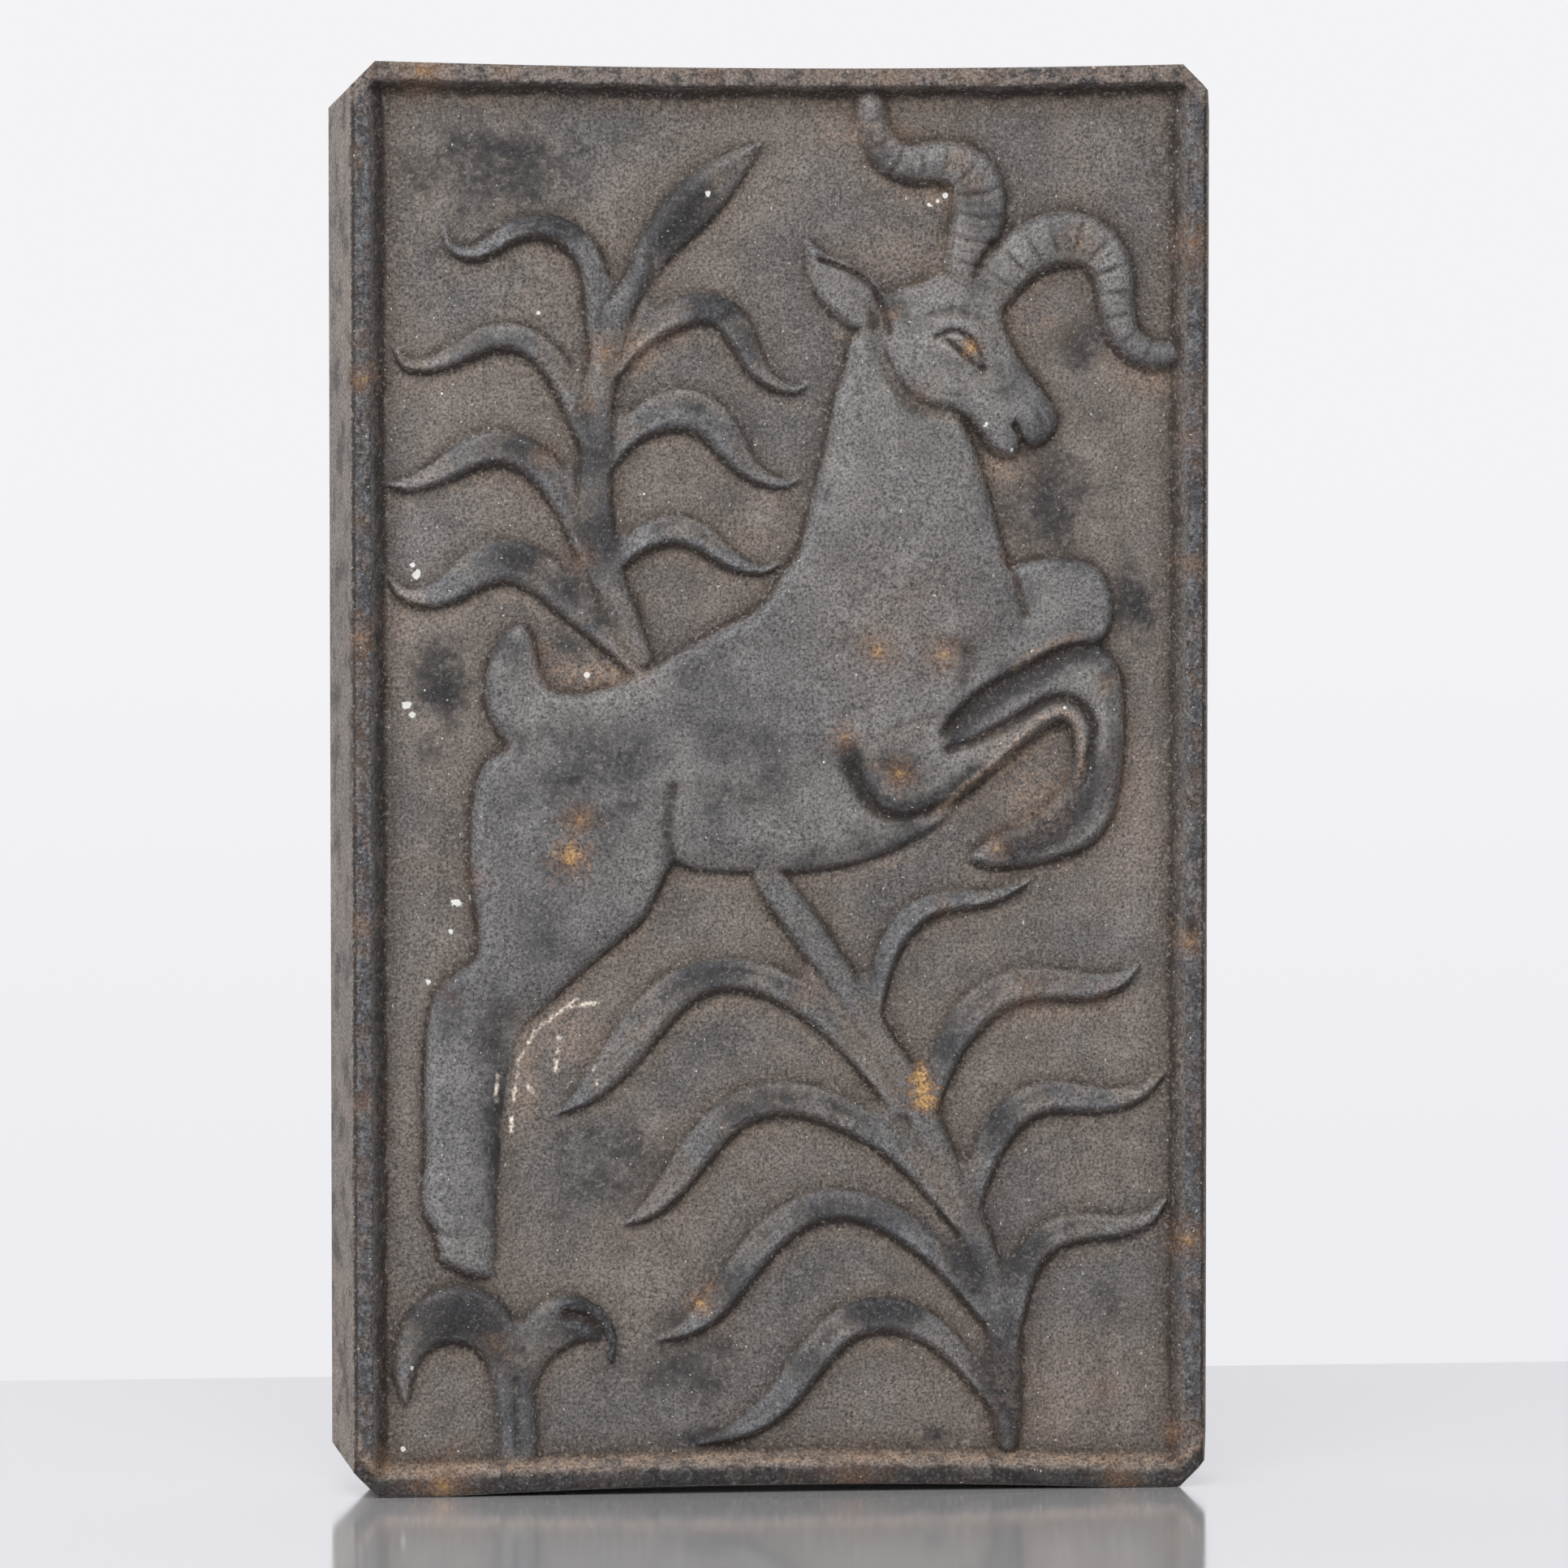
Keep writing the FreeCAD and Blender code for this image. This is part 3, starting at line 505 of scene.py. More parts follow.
def blurred(values, reach):
    """Values smoothed over a reach in millimetres."""
    down = np.fft.fftfreq(values.shape[0])[:, None]
    over = np.fft.rfftfreq(values.shape[1])[None, :]
    soften = np.exp(-2 * (math.pi * reach / grid_step) ** 2 * (down ** 2 + over ** 2))
    return np.fft.irfft2(np.fft.rfft2(values) * soften, values.shape)


# %% [markdown]
# ## Profiles
# A leaf of this relief is no half-round bar: its crest runs near the lower edge, which drops steeply, and its
# upper side slopes away gently. A stem is a rounded bar. The ibex rises quickly at its outline and then
# swells slowly, so that its flank looks full although it stands only four millimetres proud.

# %% Profiles
leaf_height = 3.0
stem_height = 3.3
shoulder_share = 0.74
tip_taper = 0.3
crest_place = 0.30
lower_power = 2.2
upper_step = 1.5
step_share = 0.42
slope_share = 0.58
fillet = 1.6
open_reach = 7.0
least_rise = 0.2


def band(values, place, reach):
    """A soft band where values come near a place."""
    return np.exp(-((values - place) / reach) ** 2)


def soft_spot(x, z, across, up):
    """A soft round spot on the grid."""
    return np.exp(-((grid_x - x) / across) ** 2 - ((grid_z - z) / up) ** 2)


def strip_places(points, margin=1.0):
    """A strip's window on the grid, the share across it (-1 to 1), its half width and its arc length."""
    line = smooth_line(points)
    part = window(line, line[:, 2].max() + margin)
    gap, side, along = nearest_on(line, grid_x[part], grid_z[part])
    index = np.arange(len(line))
    half = np.maximum(np.interp(along, index, line[:, 2]), 0.3)
    runs = np.hypot(*np.diff(line[:, :2], axis=0).T)
    arc = np.interp(along, index, np.concatenate([[0], np.cumsum(runs)]))
    return part, side * gap / half, half, arc


def rounded_bar(share, half, height, edge=2.4):
    """A bar with steep edges and a crowned top."""
    steep = np.minimum(edge, half / 2) / half
    t = np.abs(share)
    edge_rise = shoulder_share * unit((1 - t) / steep)
    crown = (1 - shoulder_share) * unit(1 - (t / (1 - steep)) ** 2)
    taper = (half / half.max()) ** tip_taper
    return height * taper * (edge_rise + crown)


def leaf_blade(share, half, height):
    """A blade with its crest near the lower edge; share is positive on that side."""
    below = unit((share - crest_place) / (1 - crest_place))
    above = unit((crest_place - share) / (1 + crest_place))
    step = unit((1 + share) * half / upper_step)
    upper_side = step_share * step * (2 - step) + slope_share * (1 - above)
    rise = np.where(share > crest_place, 1 - below ** lower_power, upper_side)
    rise = np.where(np.abs(share) >= 1, 0, rise)
    taper = (half / half.max()) ** tip_taper
    return height * taper * rise


def swelling(depth, height, edge, reach=15.0, shoulder=0.80):
    """A quick rise at an outline, then a slow swell."""
    rise = unit(depth / edge)
    swell = 1 - np.exp(-positive(depth) / reach)
    return height * (shoulder * rise * (2 - rise) + (1 - shoulder) * swell)


def raise_to(part, heights):
    """The higher of what is there and what comes."""
    relief[part] = np.maximum(relief[part], heights)


def merge_in(part, heights):
    """As raise_to, with a soft fillet where two raised forms meet."""
    there = relief[part]
    meeting = unit(1 - np.abs(there - heights) / fillet) ** 2
    both_raised = unit(np.minimum(there, heights) / 0.8)
    relief[part] = np.maximum(there, heights) + fillet / 4 * meeting * both_raised


def corners_filled(heights, reach):
    """Heights with every gap filled that a disc of this reach can't enter, as sand leaves narrow corners."""
    steps = round(reach / grid_step)
    disc = [(down, over) for down in range(-steps, steps + 1) for over in range(-steps, steps + 1)
            if down ** 2 + over ** 2 <= steps ** 2]
    widened = heights
    for shift in disc:
        widened = np.maximum(widened, np.roll(heights, shift, axis=(0, 1)))
    filled = widened
    for shift in disc:
        filled = np.minimum(filled, np.roll(widened, shift, axis=(0, 1)))
    return filled


def hollow_along(points, depth, reach):
    """A soft groove along a line; a negative depth makes a ridge."""
    line = smooth_line(points)
    part = window(line, 3 * reach)
    gap, side, along = nearest_on(line, grid_x[part], grid_z[part])
    relief[part] -= depth * band(gap, 0, reach) * (relief[part] > least_rise)


def step_below(points, depth, drop, recover):
    """A sharp step down along a line drawn left to right, with a slow rise below it."""
    line = smooth_line(points)
    part = window(line, 3 * recover)
    gap, side, along = nearest_on(line, grid_x[part], grid_z[part])
    below = positive(-side * gap)
    ends = unit(np.minimum(along, len(line) - 1 - along) / 3)
    fall = unit(below / drop) * band(below, 0, recover)
    relief[part] -= depth * fall * ends * (relief[part] > least_rise)


def swell_at(x, z, across, up, lift):
    """A broad soft swelling of what is already raised."""
    relief[...] += lift * soft_spot(x, z, across, up) * unit(relief / 3 - 0.4)


# %% Foliage
lobe_height = 3.2
corner_reach = 2.5
stem_groove = 0.6
relief = np.zeros(grid_x.shape)
leaf_shade = np.zeros(grid_x.shape)
leaf_shine = np.zeros(grid_x.shape)
for leaf in upper_leaves + lower_leaves:
    tail, root = np.array(leaf[-2]), np.array(leaf[-1])
    part, share, half, arc = strip_places(leaf + [tuple(root + 0.6 * (root - tail) * [1, 1, 0])])
    share *= -1 if leaf[0][0] < leaf[-1][0] else 1
    merge_in(part, leaf_blade(share, half, leaf_height))
    bow = band(arc / arc.max(), 0.52, 0.26)
    inside = np.abs(share) < 1
    # leaf_shade darkens the upper side of each leaf's arch; leaf_shine is a painted highlight along each
    # leaf's crest.
    leaf_shade[part] = np.maximum(leaf_shade[part], inside * bow * band(share, -0.25, 0.45))
    leaf_shine[part] = np.maximum(leaf_shine[part], inside * band(share, 0.42, 0.20))
for stem in stems:
    part, share, half, arc = strip_places(stem)
    merge_in(part, rounded_bar(share, half, stem_height, edge=2.1))
part, share, half, arc = strip_places(bud)
merge_in(part, leaf_blade(share * 0.9, half, leaf_height))
leaf_shade[part] = np.maximum(leaf_shade[part], 0.8 * (np.abs(share) < 0.9) * (half > 3.6))
for lobe in (sprout_left, sprout_right):
    part, share, half, arc = strip_places(lobe)
    merge_in(part, rounded_bar(share, half, lobe_height, edge=2.2))
relief = corners_filled(relief, corner_reach)
part, share, half, arc = strip_places(stems[0], margin=3.0)
relief[part] -= stem_groove * np.exp(-((np.abs(share) - 0.96) * half / 0.8) ** 2) * (relief[part] > 0.6)
hollow_along([(-74, -189), (-74.2, -178), (-74.6, -168)], 0.9, 1.2)
hollow_along([(-48.6, -159), (-50.5, -154.5), (-54.5, -150.6), (-60, -149.5)], 2.4, 1.6)
foliage = relief.copy()
print("foliage", round(relief.max(), 2), "mm high")

# %% [markdown]
# ## The ibex
# The animal is built as a carver cuts it, back to front: trunk with neck and hind leg first, then the far
# foreleg behind the chest, the near foreleg laid over the flank, and the head over the neck. Where one form
# lies over another the lower one is cut back in a narrow moat, which is what gives the dark contour lines.

# %% Trunk and legs
body_height = 4.3
far_leg_height = 3.4
foreleg_height = 5.0


def outline_depth(outline, margin):
    """An outline's window on the grid, and the depth inside it there."""
    line = smooth_line(outline, closed=True, steps=3)
    part = window(line, margin)
    return part, depth_inside(line, grid_x[part], grid_z[part])


def lay_over(outline, height, edge, moat, moat_reach, shoulder=0.8, open_along=None):
    """Lay a form over what is there, with a moat cut round it except along an open line."""
    part, depth = outline_depth(outline, 3 * moat_reach)
    cut = moat * band(positive(-depth), 0, moat_reach)
    if open_along:
        gap, side, along = nearest_on(smooth_line(open_along), grid_x[part], grid_z[part])
        cut *= 1 - np.exp(-(gap / open_reach) ** 4)
    relief[part] *= 1 - cut
    raise_to(part, swelling(depth, height, edge, shoulder=shoulder))


part, depth = outline_depth(body_outline, 4)
body = swelling(depth, body_height, 3.8, shoulder=0.72)
shank = unit((-58 - grid_z[part]) / 16)
flank = unit((grid_x[part] + 89) / 10)
body *= 1 - 0.72 * shank * flank ** 1.4 * (grid_x[part] < -60)
raise_to(part, np.where(depth > 0, body, 0))
hollow_along([(-20, -25), (10, -25.5), (27.5, -21.5), (42.5, -14.5), (57, -2), (66, 6)], 1.3, 6.0)
hollow_along([(-28, -26), (-34, -36), (-46, -46), (-58, -55), (-70, -67)], 1.0, 5.0)
swell_at(-62, -14, 20, 30, 0.45)
swell_at(34, 42, 22, 34, 0.45)
swell_at(-12, 6, 18, 20, -0.35)
lay_over(far_leg_outline, far_leg_height, 3.0, 0.0, 2.0)
hollow_along([(62, 71), (65, 61), (68, 50), (69, 46)], 1.2, 1.2)
lay_over(foreleg_outline, foreleg_height, 3.0, 0.55, 3.2, shoulder=0.62,
         open_along=[(18, 11), (34, 21), (52, 24), (66, 31.5), (80, 38), (92, 38)])
inner_crease = [(47.5, 8.5), (55, 10.5), (62.5, 14.5), (70, 19), (77.5, 22.5), (85.5, 20), (88.5, 12.5),
                (86.5, 4), (83, -2)]
inner_ridge = [(52, -2), (60.6, 5.2), (68, 12.2), (75.3, 17.6), (80.5, 18.2), (84, 14.5), (85, 7.3)]
hollow_along(inner_crease, 1.8, 1.9)
hollow_along(inner_ridge, -0.7, 1.2)
step_below([(42, 10), (47, 17.5), (55, 25.5), (65, 31), (77, 37), (85, 38.8), (92, 37)], 2.5, 2.2, 6.4)
leg_grooves = [
    ([(45, 39), (51.5, 37), (54.5, 32.5), (51, 26.5)], 0.6, 2.2),
    ([(40, 12), (44, 3), (50, -3)], 0.6, 3.0),
    ([(-29.5, -24), (-31, -17), (-31.5, -10), (-30, -2)], 1.1, 2.2),
    ([(62.5, -16), (64.5, -19.5), (66.5, -23)], 0.8, 0.8),
    ([(-99, -125.5), (-94, -127), (-88, -127.5)], 0.7, 1.0),
]
for groove in leg_grooves:
    hollow_along(*groove)

# %% [markdown]
# ## Head, ear and horns
# The head is the liveliest part: a half-closed eye between two lids, lips, a folded ear and ringed horns.
# Rings follow the horn's own length, so each is placed by arc length along the horn and not by eye.

# %% Head, ear and horns
skull_height = 5.1
ear_height = 3.5
sand_blur = 0.34
ring_gap = 6.7
ring_depth = 0.17
ring_reach = 0.6


def ringed_horn(points, height, first_ring):
    """A round horn with narrow rings at even steps along it."""
    part, share, half, arc = strip_places(points)
    bulge = rounded_bar(share, half, height, edge=2.5)
    from_ring = np.abs((arc - first_ring + 1.2 * (1 - share ** 2) + ring_gap / 2) % ring_gap - ring_gap / 2)
    lift = 1 - ring_depth * band(from_ring, 0, ring_reach)
    lift += 0.06 * band(from_ring, 1.7, 0.8)
    raise_to(part, bulge * lift)


ringed_horn(horn_left, 4.2, 6.0)
ringed_horn(horn_right, 4.3, 5.0)
hollow_along([(54.8, 141), (56.5, 145), (60, 150)], 1.8, 1.2)
part, share, half, arc = strip_places(ear)
raise_to(part, rounded_bar(share, half, ear_height, edge=2.6))
lay_over(head_outline, skull_height, 4.4, 0.40, 2.4, shoulder=0.68,
         open_along=[(47, 143), (57, 141), (68, 138)])
head_grooves = [
    ([(11, 145.3), (18.3, 142.8), (24, 139.6), (28.1, 133.9), (30.6, 125)], 2.0, 0.8),
    ([(13, 140.5), (18, 136), (23, 132), (27, 127.5)], 1.2, 3.2),
    ([(9, 148), (14, 146.3), (20, 144), (26, 140), (30, 134)], -0.9, 1.3),
    ([(51, 122.6), (53.6, 119.6), (55.6, 116.4)], -0.5, 1.3),
    ([(43.5, 123.6), (48.4, 125.4), (52.5, 123.9), (55.4, 120.1), (57.1, 115)], 1.2, 0.6),
    ([(46.3, 123.3), (49.2, 121), (52.5, 117.7), (56.8, 114.6)], 1.2, 0.6),
    ([(46, 127.3), (52, 127), (57.6, 122), (59.6, 116.5)], -0.7, 1.2),
    ([(45.5, 120.5), (50, 117.8), (53.4, 114)], -0.5, 1.1),
    ([(42, 130), (50, 131), (59.5, 126.5), (62.3, 120.5)], 0.7, 1.3),
    ([(57, 113), (62, 106.5), (65.5, 101)], 0.5, 3.2),
    ([(36, 114), (42, 108.5), (49, 107)], -0.35, 5.0),
    ([(68.6, 90.5), (68, 95), (66, 99)], 2.2, 0.9),
    ([(72.5, 101.5), (75, 99)], 0.9, 0.8),
    ([(48, 141), (52, 138.5), (58, 138), (63, 135.5)], 0.6, 1.6),
]
for groove in head_grooves:
    hollow_along(*groove)
relief = blurred(relief, sand_blur)
print("relief", round(relief.max(), 2), "mm high")

# %% [markdown]
# ## Rim and field
# The rim was filed by hand after casting: a narrow bar with a long slope inwards, steeper at the top, and a
# shallow rebate along its outer left and right edges. Slow waves keep its lines from looking ruled, and one
# casting flaw breaks the right side.

# %% Rim and field
side_waver = 0.22
end_waver = 0.2
rim_crown = 0.25
face_blur = 0.22
rebate_depth = 0.9
rebate_width = 1.25
rebate_slope = 0.6
end_ease = 0.9
end_drop = 0.6
deepest = -0.3
top_gap = 0.02
random = np.random.default_rng(11)


def clouds(reach):
    """Smooth random values over the grid, about -1 to 1."""
    field = blurred(random.standard_normal(grid_x.shape), reach)
    return field / (2 * field.std())


def wavering(places, strength):
    """A slow unevenness along an edge."""
    waves = [(83.0, 0.4), (47.0, 2.1), (29.0, 4.0), (17.0, 1.2)]
    return strength * sum(np.sin(2 * math.pi * places / length + start) for length, start in waves) / 2


def rim_bar(inset, slope):
    """Rim height at a distance in from the outer edge."""
    rise = unit((rim_width + slope - inset) / slope)
    crown = rim_crown * unit(np.abs(inset - rim_width / 2) / (rim_width / 2)) ** 2
    return rim_height * rise - crown * (inset < rim_width)


from_left = grid_x + front_half
from_right = front_half - grid_x
from_top = top_line(grid_x) - grid_z
from_foot = grid_z - foot_line(grid_x)
rim_sides = [(from_left, grid_z, side_waver, rim_slope), (from_right, grid_z + 31, side_waver, rim_slope),
             (from_top, grid_x, end_waver, rim_slope_top), (from_foot, grid_x + 57, end_waver, rim_slope)]
rim_bars = [rim_bar(inset + wavering(run, waver), slope) for inset, run, waver, slope in rim_sides]
rim = np.maximum.reduce(rim_bars)
flaw = soft_spot(116.4, -43.5, 2.4, 3.5)
lump = soft_spot(113.8, -50, 2.6, 3.2)
face = np.maximum(relief, rim)
face = np.where(rim > 0.3, face - 2.2 * flaw + 1.2 * lump, face)
face += 0.10 * clouds(9) + 0.08 * clouds(2.2)
side_edge = np.minimum(from_left, from_right)
end_edge = np.minimum(from_top, from_foot)
face = blurred(face, face_blur)
rebate = unit((rebate_width - side_edge) / rebate_slope)
face -= rebate_depth * rebate * rebate * (3 - 2 * rebate)
face -= end_drop * unit(1 - end_edge / end_ease) ** 2
face = np.clip(face, deepest, rim_height - top_gap)
print("face from", round(face.min(), 2), "to", round(face.max(), 2), "mm")

# %% [markdown]
# ## Where dirt, wear and painted light gather
# Dirt collects in creases, and hands polish what stands proud. Both can be read off the height grid by
# comparing
# it with a smoothed copy of itself: lower than its surroundings is a crease, higher is a crest. The creases
# and the field round the raised forms take painted shade as well as dirt, steep and downward-facing flanks are
# darkened as painted shade, and a light band just below each form is a painted highlight. Soot with painted
# shade, dust with painted highlights and paler skin were set down where they lie. All of it goes to the mesh
# as vertex attributes.

# %% Where dirt, wear and painted light gather
def patches(places):
    """Soft round patches: rows of (x, z, reach across, reach up, strength)."""
    return np.maximum.reduce([row[-1] * soft_spot(*row[:-1]) for row in places])


def brushed(strokes):
    """Soft bands along lines: rows of (points, reach, strength)."""
    stain = np.zeros(grid_x.shape)
    for points, reach, strength in strokes:
        line = smooth_line(points)
        part = window(line, 3 * reach)
        gap, side, along = nearest_on(line, grid_x[part], grid_z[part])
        stain[part] = np.maximum(stain[part], strength * band(gap, 0, reach))
    return stain


# Dark patches of soot and painted shade: on the ibex mostly the shade on its lower and turned-away parts and
# along the forearm's edges, on the field and leaves also the shade beside and below the forms.
field_soot_and_shade = [
    (-77, 171, 32, 17, 0.66), (-95, 28, 9, 16, 0.85), (-98, 11, 6, 7, 0.6), (44, -184.6, 6, 3.5, 0.8),
    (28, -137, 14, 8, 0.40), (91, -148, 8, 8, 0.40), (86, -179, 7, 6, 0.40), (-28, -164, 20, 17, 0.60),
    (-43, -134, 7, 4, 0.45), (-18, -185.6, 15, 5, 0.8), (-45, -108, 22, 18, 0.58), (100, 50, 8, 14, 0.78),
    (76, 81, 15, 20, 0.75), (84, 122, 13, 15, 0.58), (-12, 92, 10, 20, 0.45),
    (9, -166, 15, 10, 0.48), (-60, 38, 6, 8, 0.4), (-100, -90, 5, 24, 0.3), (60, -10, 8, 6, 0.3),
]
foliage_soot_and_shade = [
    (-62, 156, 15, 8, 1.0), (-80, 121, 14, 7, 0.7), (-70, 94, 14, 9, 0.8), (-72, 64, 11, 9, 0.9),
    (-60, 54, 11, 10, 0.7), (-51, 45, 8, 8, 0.6), (-17, 133, 14, 7, 1.0), (-9, 122, 6, 8, 0.7),
    (-23, 98, 12, 6, 0.55), (-53, 91, 9, 14, 0.75), (-51, 69, 9, 18, 0.72), (-80, 84, 14, 10, 0.8),
    (66, -70, 14, 9, 0.62), (-27, 157, 16, 16, 1.0), (31, -148, 16, 8, 1.1), (20, -124, 20, 9, 0.8),
    (47, -73, 8, 11, 0.8), (61, -94, 9, 10, 0.8),
    (69, -133, 9, 11, 0.95), (29, -48, 8, 11, 0.55), (63, -172, 9, 22, 1.1), (54, -136, 9, 16, 0.75),
    (-54, -150, 12, 9, 1.1), (-48, -158, 7, 9, 1.1), (-88, -150, 25, 16, 0.92), (-74, -176, 8, 18, 0.7),
    (-20, -56, 18, 9, 0.62), (-4, -91, 20, 9, 0.6), (-14, -144, 12, 12, 0.7),
]
beast_shade_and_soot = [
    (-80, -72, 10, 17, 0.55), (-76, -106, 9, 36, 1.0), (-93, -60, 7, 12, 0.5), (51, 33, 7, 8, 0.45),
    (35, -17, 18, 9, 0.72), (-22, 28, 22, 11, 0.46), (-63, -27, 16, 13, 0.45), (54, 158, 10, 12, 0.6),
    (8, -24, 26, 7, 0.55), (70, 54, 8, 11, 0.5), (82, 61, 13, 5, 0.6), (20, 143, 10, 6, 0.7),
    (30, 135, 6, 9, 0.65), (66, 98, 10, 8, 0.40), (74, 103, 7, 10, 0.45), (65, 112, 9, 9, 0.5),
    (38, 107, 11, 7, 0.5), (40, 128, 9, 8, 0.42), (50, 133, 14, 7, 0.40), (56, 148, 9, 10, 0.5),
    (27, 178, 8, 10, 0.55), (37, 170, 11, 7, 0.5), (77, 147, 8, 9, 0.45), (95, 129, 8, 14, 0.45),
    (108, 118, 8, 6, 0.5), (14, 88, 6, 26, 0.35), (56, 85, 5, 18, 0.45), (-54, 2, 26, 22, 0.60),
    (-14, 2, 24, 18, 0.46), (33, 2, 11, 8, 0.72), (45, 115, 14, 12, 0.40), (-76, 36, 8, 9, 0.6),
    (-62, -42, 18, 14, 0.36),
]
beast_shade_strokes = [
    ([(19, 8), (24, -3), (31, -8.5), (39, -8), (48, -4), (56, 2)], 4.2, 1.0),
    ([(49, 14), (57, 22), (67, 28.5), (79, 34.5), (89, 36)], 5.4, 1.0),
    ([(90, 34), (94, 24), (94, 6), (92, -6)], 3.6, 0.65),
    ([(87, 3), (83, -8), (75, -14), (66, -19)], 6.0, 1.0),
    ([(47.5, 8.5), (62.5, 14.5), (77.5, 22.5), (85.5, 20), (88.5, 12.5), (86.5, 4)], 2.4, 0.8),
    ([(45, 39), (51.5, 37), (54.5, 32.5), (51, 26.5)], 2.0, 0.55),
    ([(-30, -23), (-31.5, -12), (-30, -3)], 2.6, 0.55),
]
pale_places = [
    (-101, 60, 13, 45, 0.9), (-104, -85, 9, 50, 1.0), (100, -15, 9, 60, 0.6), (-90, 122, 16, 14, 0.5),
    (84, 50, 9, 8, 0.8), (39, 77, 10, 16, 0.6), (-88, -100, 6, 26, 0.8), (48, 127, 10, 6, 0.7),
    (66, 106, 9, 7, 0.7),
]
dust_places = [
    (-54, 30, 12, 3.2, 1.0), (64, 87, 9, 4, 0.6), (-38, 119, 5, 5, 0.7), (72, -4, 9, 12, 0.55),
    (62, 6, 6, 8, 0.4), (-60, -72, 10, 8, 0.45), (-71, -84, 3, 14, 0.5), (24, 181, 14, 5, 0.45),
    (80, -172, 30, 16, 0.22), (35, 147, 16, 8, 0.35), (74, 128, 10, 8, 0.4), (104, 112, 8, 3, 0.6),
    (-105, 45, 5, 8, 0.3), (36, 48, 24, 24, 0.22), (99, -5, 7, 22, 0.32), (70, -66, 22, 4, 0.30),
    (44, 162, 5, 4, 0.5), (-8, 67, 8, 2.5, 0.35),
]
# Painted highlights in the tan of the dust, along the forearm's inner ridge and upper edge.
ridge_highlight_strokes = [
    ([(44.4, -9.5), (52, -2), (60.6, 5.2), (68, 12.2), (75.3, 18), (80.5, 18.6), (83.8, 14.5), (85.2, 7.3),
      (84, -0.8)], 1.1, 0.75),
    ([(66, 31.5), (76, 37.8), (84, 40)], 1.1, 0.6),
]
print("soot_and_shade_patches", len(field_soot_and_shade + foliage_soot_and_shade + beast_shade_and_soot), "soot_and_shade", len(dust_places), "dust_and_highlight")

# %% Maps of the face
ledge_rows = 7
bar_start = 4.4
cover = 0.6
border_fade = 0.6
rise_up, rise_across = np.gradient(face, grid_step)
near = blurred(face, 1.4)
around = blurred(face, 4.5)
beast_rise = relief - foliage
plain_leaf = beast_rise < cover
on_rim = unit((rim - bar_start) / 0.6)
on_beast = unit(beast_rise / 0.4)
on_leaf = unit(foliage / 0.4) * plain_leaf
under = unit(rise_up / 0.9)
beast_shade_and_soot_stain = np.maximum(patches(beast_shade_and_soot), brushed(beast_shade_strokes)) * on_beast
soot_and_shade_patches = np.maximum.reduce([patches(field_soot_and_shade), patches(foliage_soot_and_shade) * on_leaf, beast_shade_and_soot_stain])
side_slope = np.maximum(0.75 * band(from_left, 7.6, 2), 0.45 * band(from_right, 7.6, 2))
dust_and_highlight = np.maximum(patches(dust_places), brushed(ridge_highlight_strokes))
foot_ledge = band(from_foot, 7.2, 1.7)
top_bar = unit((5.4 - from_top) / 0.8)
maps = {
    # Dirt with painted shade in the creases, with a painted shadow line in the rebate along the left and right
    # edges; painted shade on steep slopes (flank) and on downward-facing slopes (under).
    "crease": np.maximum(unit((near - face) / 0.55), band(side_edge, 0.75, 0.45)),
    "flank": unit(np.hypot(rise_up, rise_across) / 1.1),
    "under": under,
    # Painted highlight: a light band just below each form, where the upward-facing fillet catches the light.
    "ledge_highlight": np.roll(blurred(under, 0.9), -ledge_rows, axis=0),
    "crest": unit((face - near) / 0.40),
    # Dirt with painted shade on the field round the raised forms.
    "dirt_and_shade_halo": unit((around - face) / 0.9),
    "leafy": unit(foliage / 1.2) * plain_leaf,
    "leaf_shade": leaf_shade * plain_leaf,
    # Painted highlight along each leaf's crest.
    "leaf_shine": leaf_shine * plain_leaf,
    "beast": unit(beast_rise / 1.2),
    "rim_bar": on_rim,
    "foot_bar": unit((5.6 - from_foot) / 0.8),
    # Soot with painted shade, and the darkened inner slopes of the left and right rim.
    "soot_and_shade": np.maximum(soot_and_shade_patches * (1 - on_rim), side_slope),
    # Tan dust, with painted highlights along the forearm's ridges, painted light on the foot's upward-facing
    # slope, and the tint of the top bar.
    "dust_and_highlight": np.maximum.reduce([dust_and_highlight * (1 - on_rim), 0.9 * foot_ledge, 0.36 * top_bar]),
    "pale": patches(pale_places) * (rim < bar_start),
}
edge_fade = unit(np.minimum(side_edge, end_edge) / border_fade)
maps = {name: values * edge_fade for name, values in maps.items()}
print("maps", len(maps))

# %% [markdown]
# ## One closed casting
# The face grid is closed into a solid skin: its border runs on over the flared side walls, round the rear
# rim, down the drafted hollow and across the hollow's floor. Each border point keeps its place on the
# outline, so every loop has the same number of points and the skin has no seam. The arch under the foot
# grows shallower behind the front edge, as no light shows under it. A decimation then spends the triangles
# where the shape needs them, on crests and edges.

# %% Border loops
wall_thickness = 8.0
cavity_corner = 12.0
cavity_draft = 1.0
floor_level = field_level + 7.0
arch_loss = 0.65
arch_start = 2
arch_run = 5

border = np.concatenate([
    np.arange(columns),
    np.arange(1, rows) * columns + columns - 1,
    (rows - 1) * columns + np.arange(columns - 2, -1, -1),
    np.arange(rows - 2, 0, -1) * columns,
])
border_x = grid_x.ravel()[border]
border_z = grid_z.ravel()[border]
on_side = np.abs(border_x) > front_half - 1e-6
on_cut = (np.abs(border_x) > flat_end) & ~on_side
upper = border_z > 0


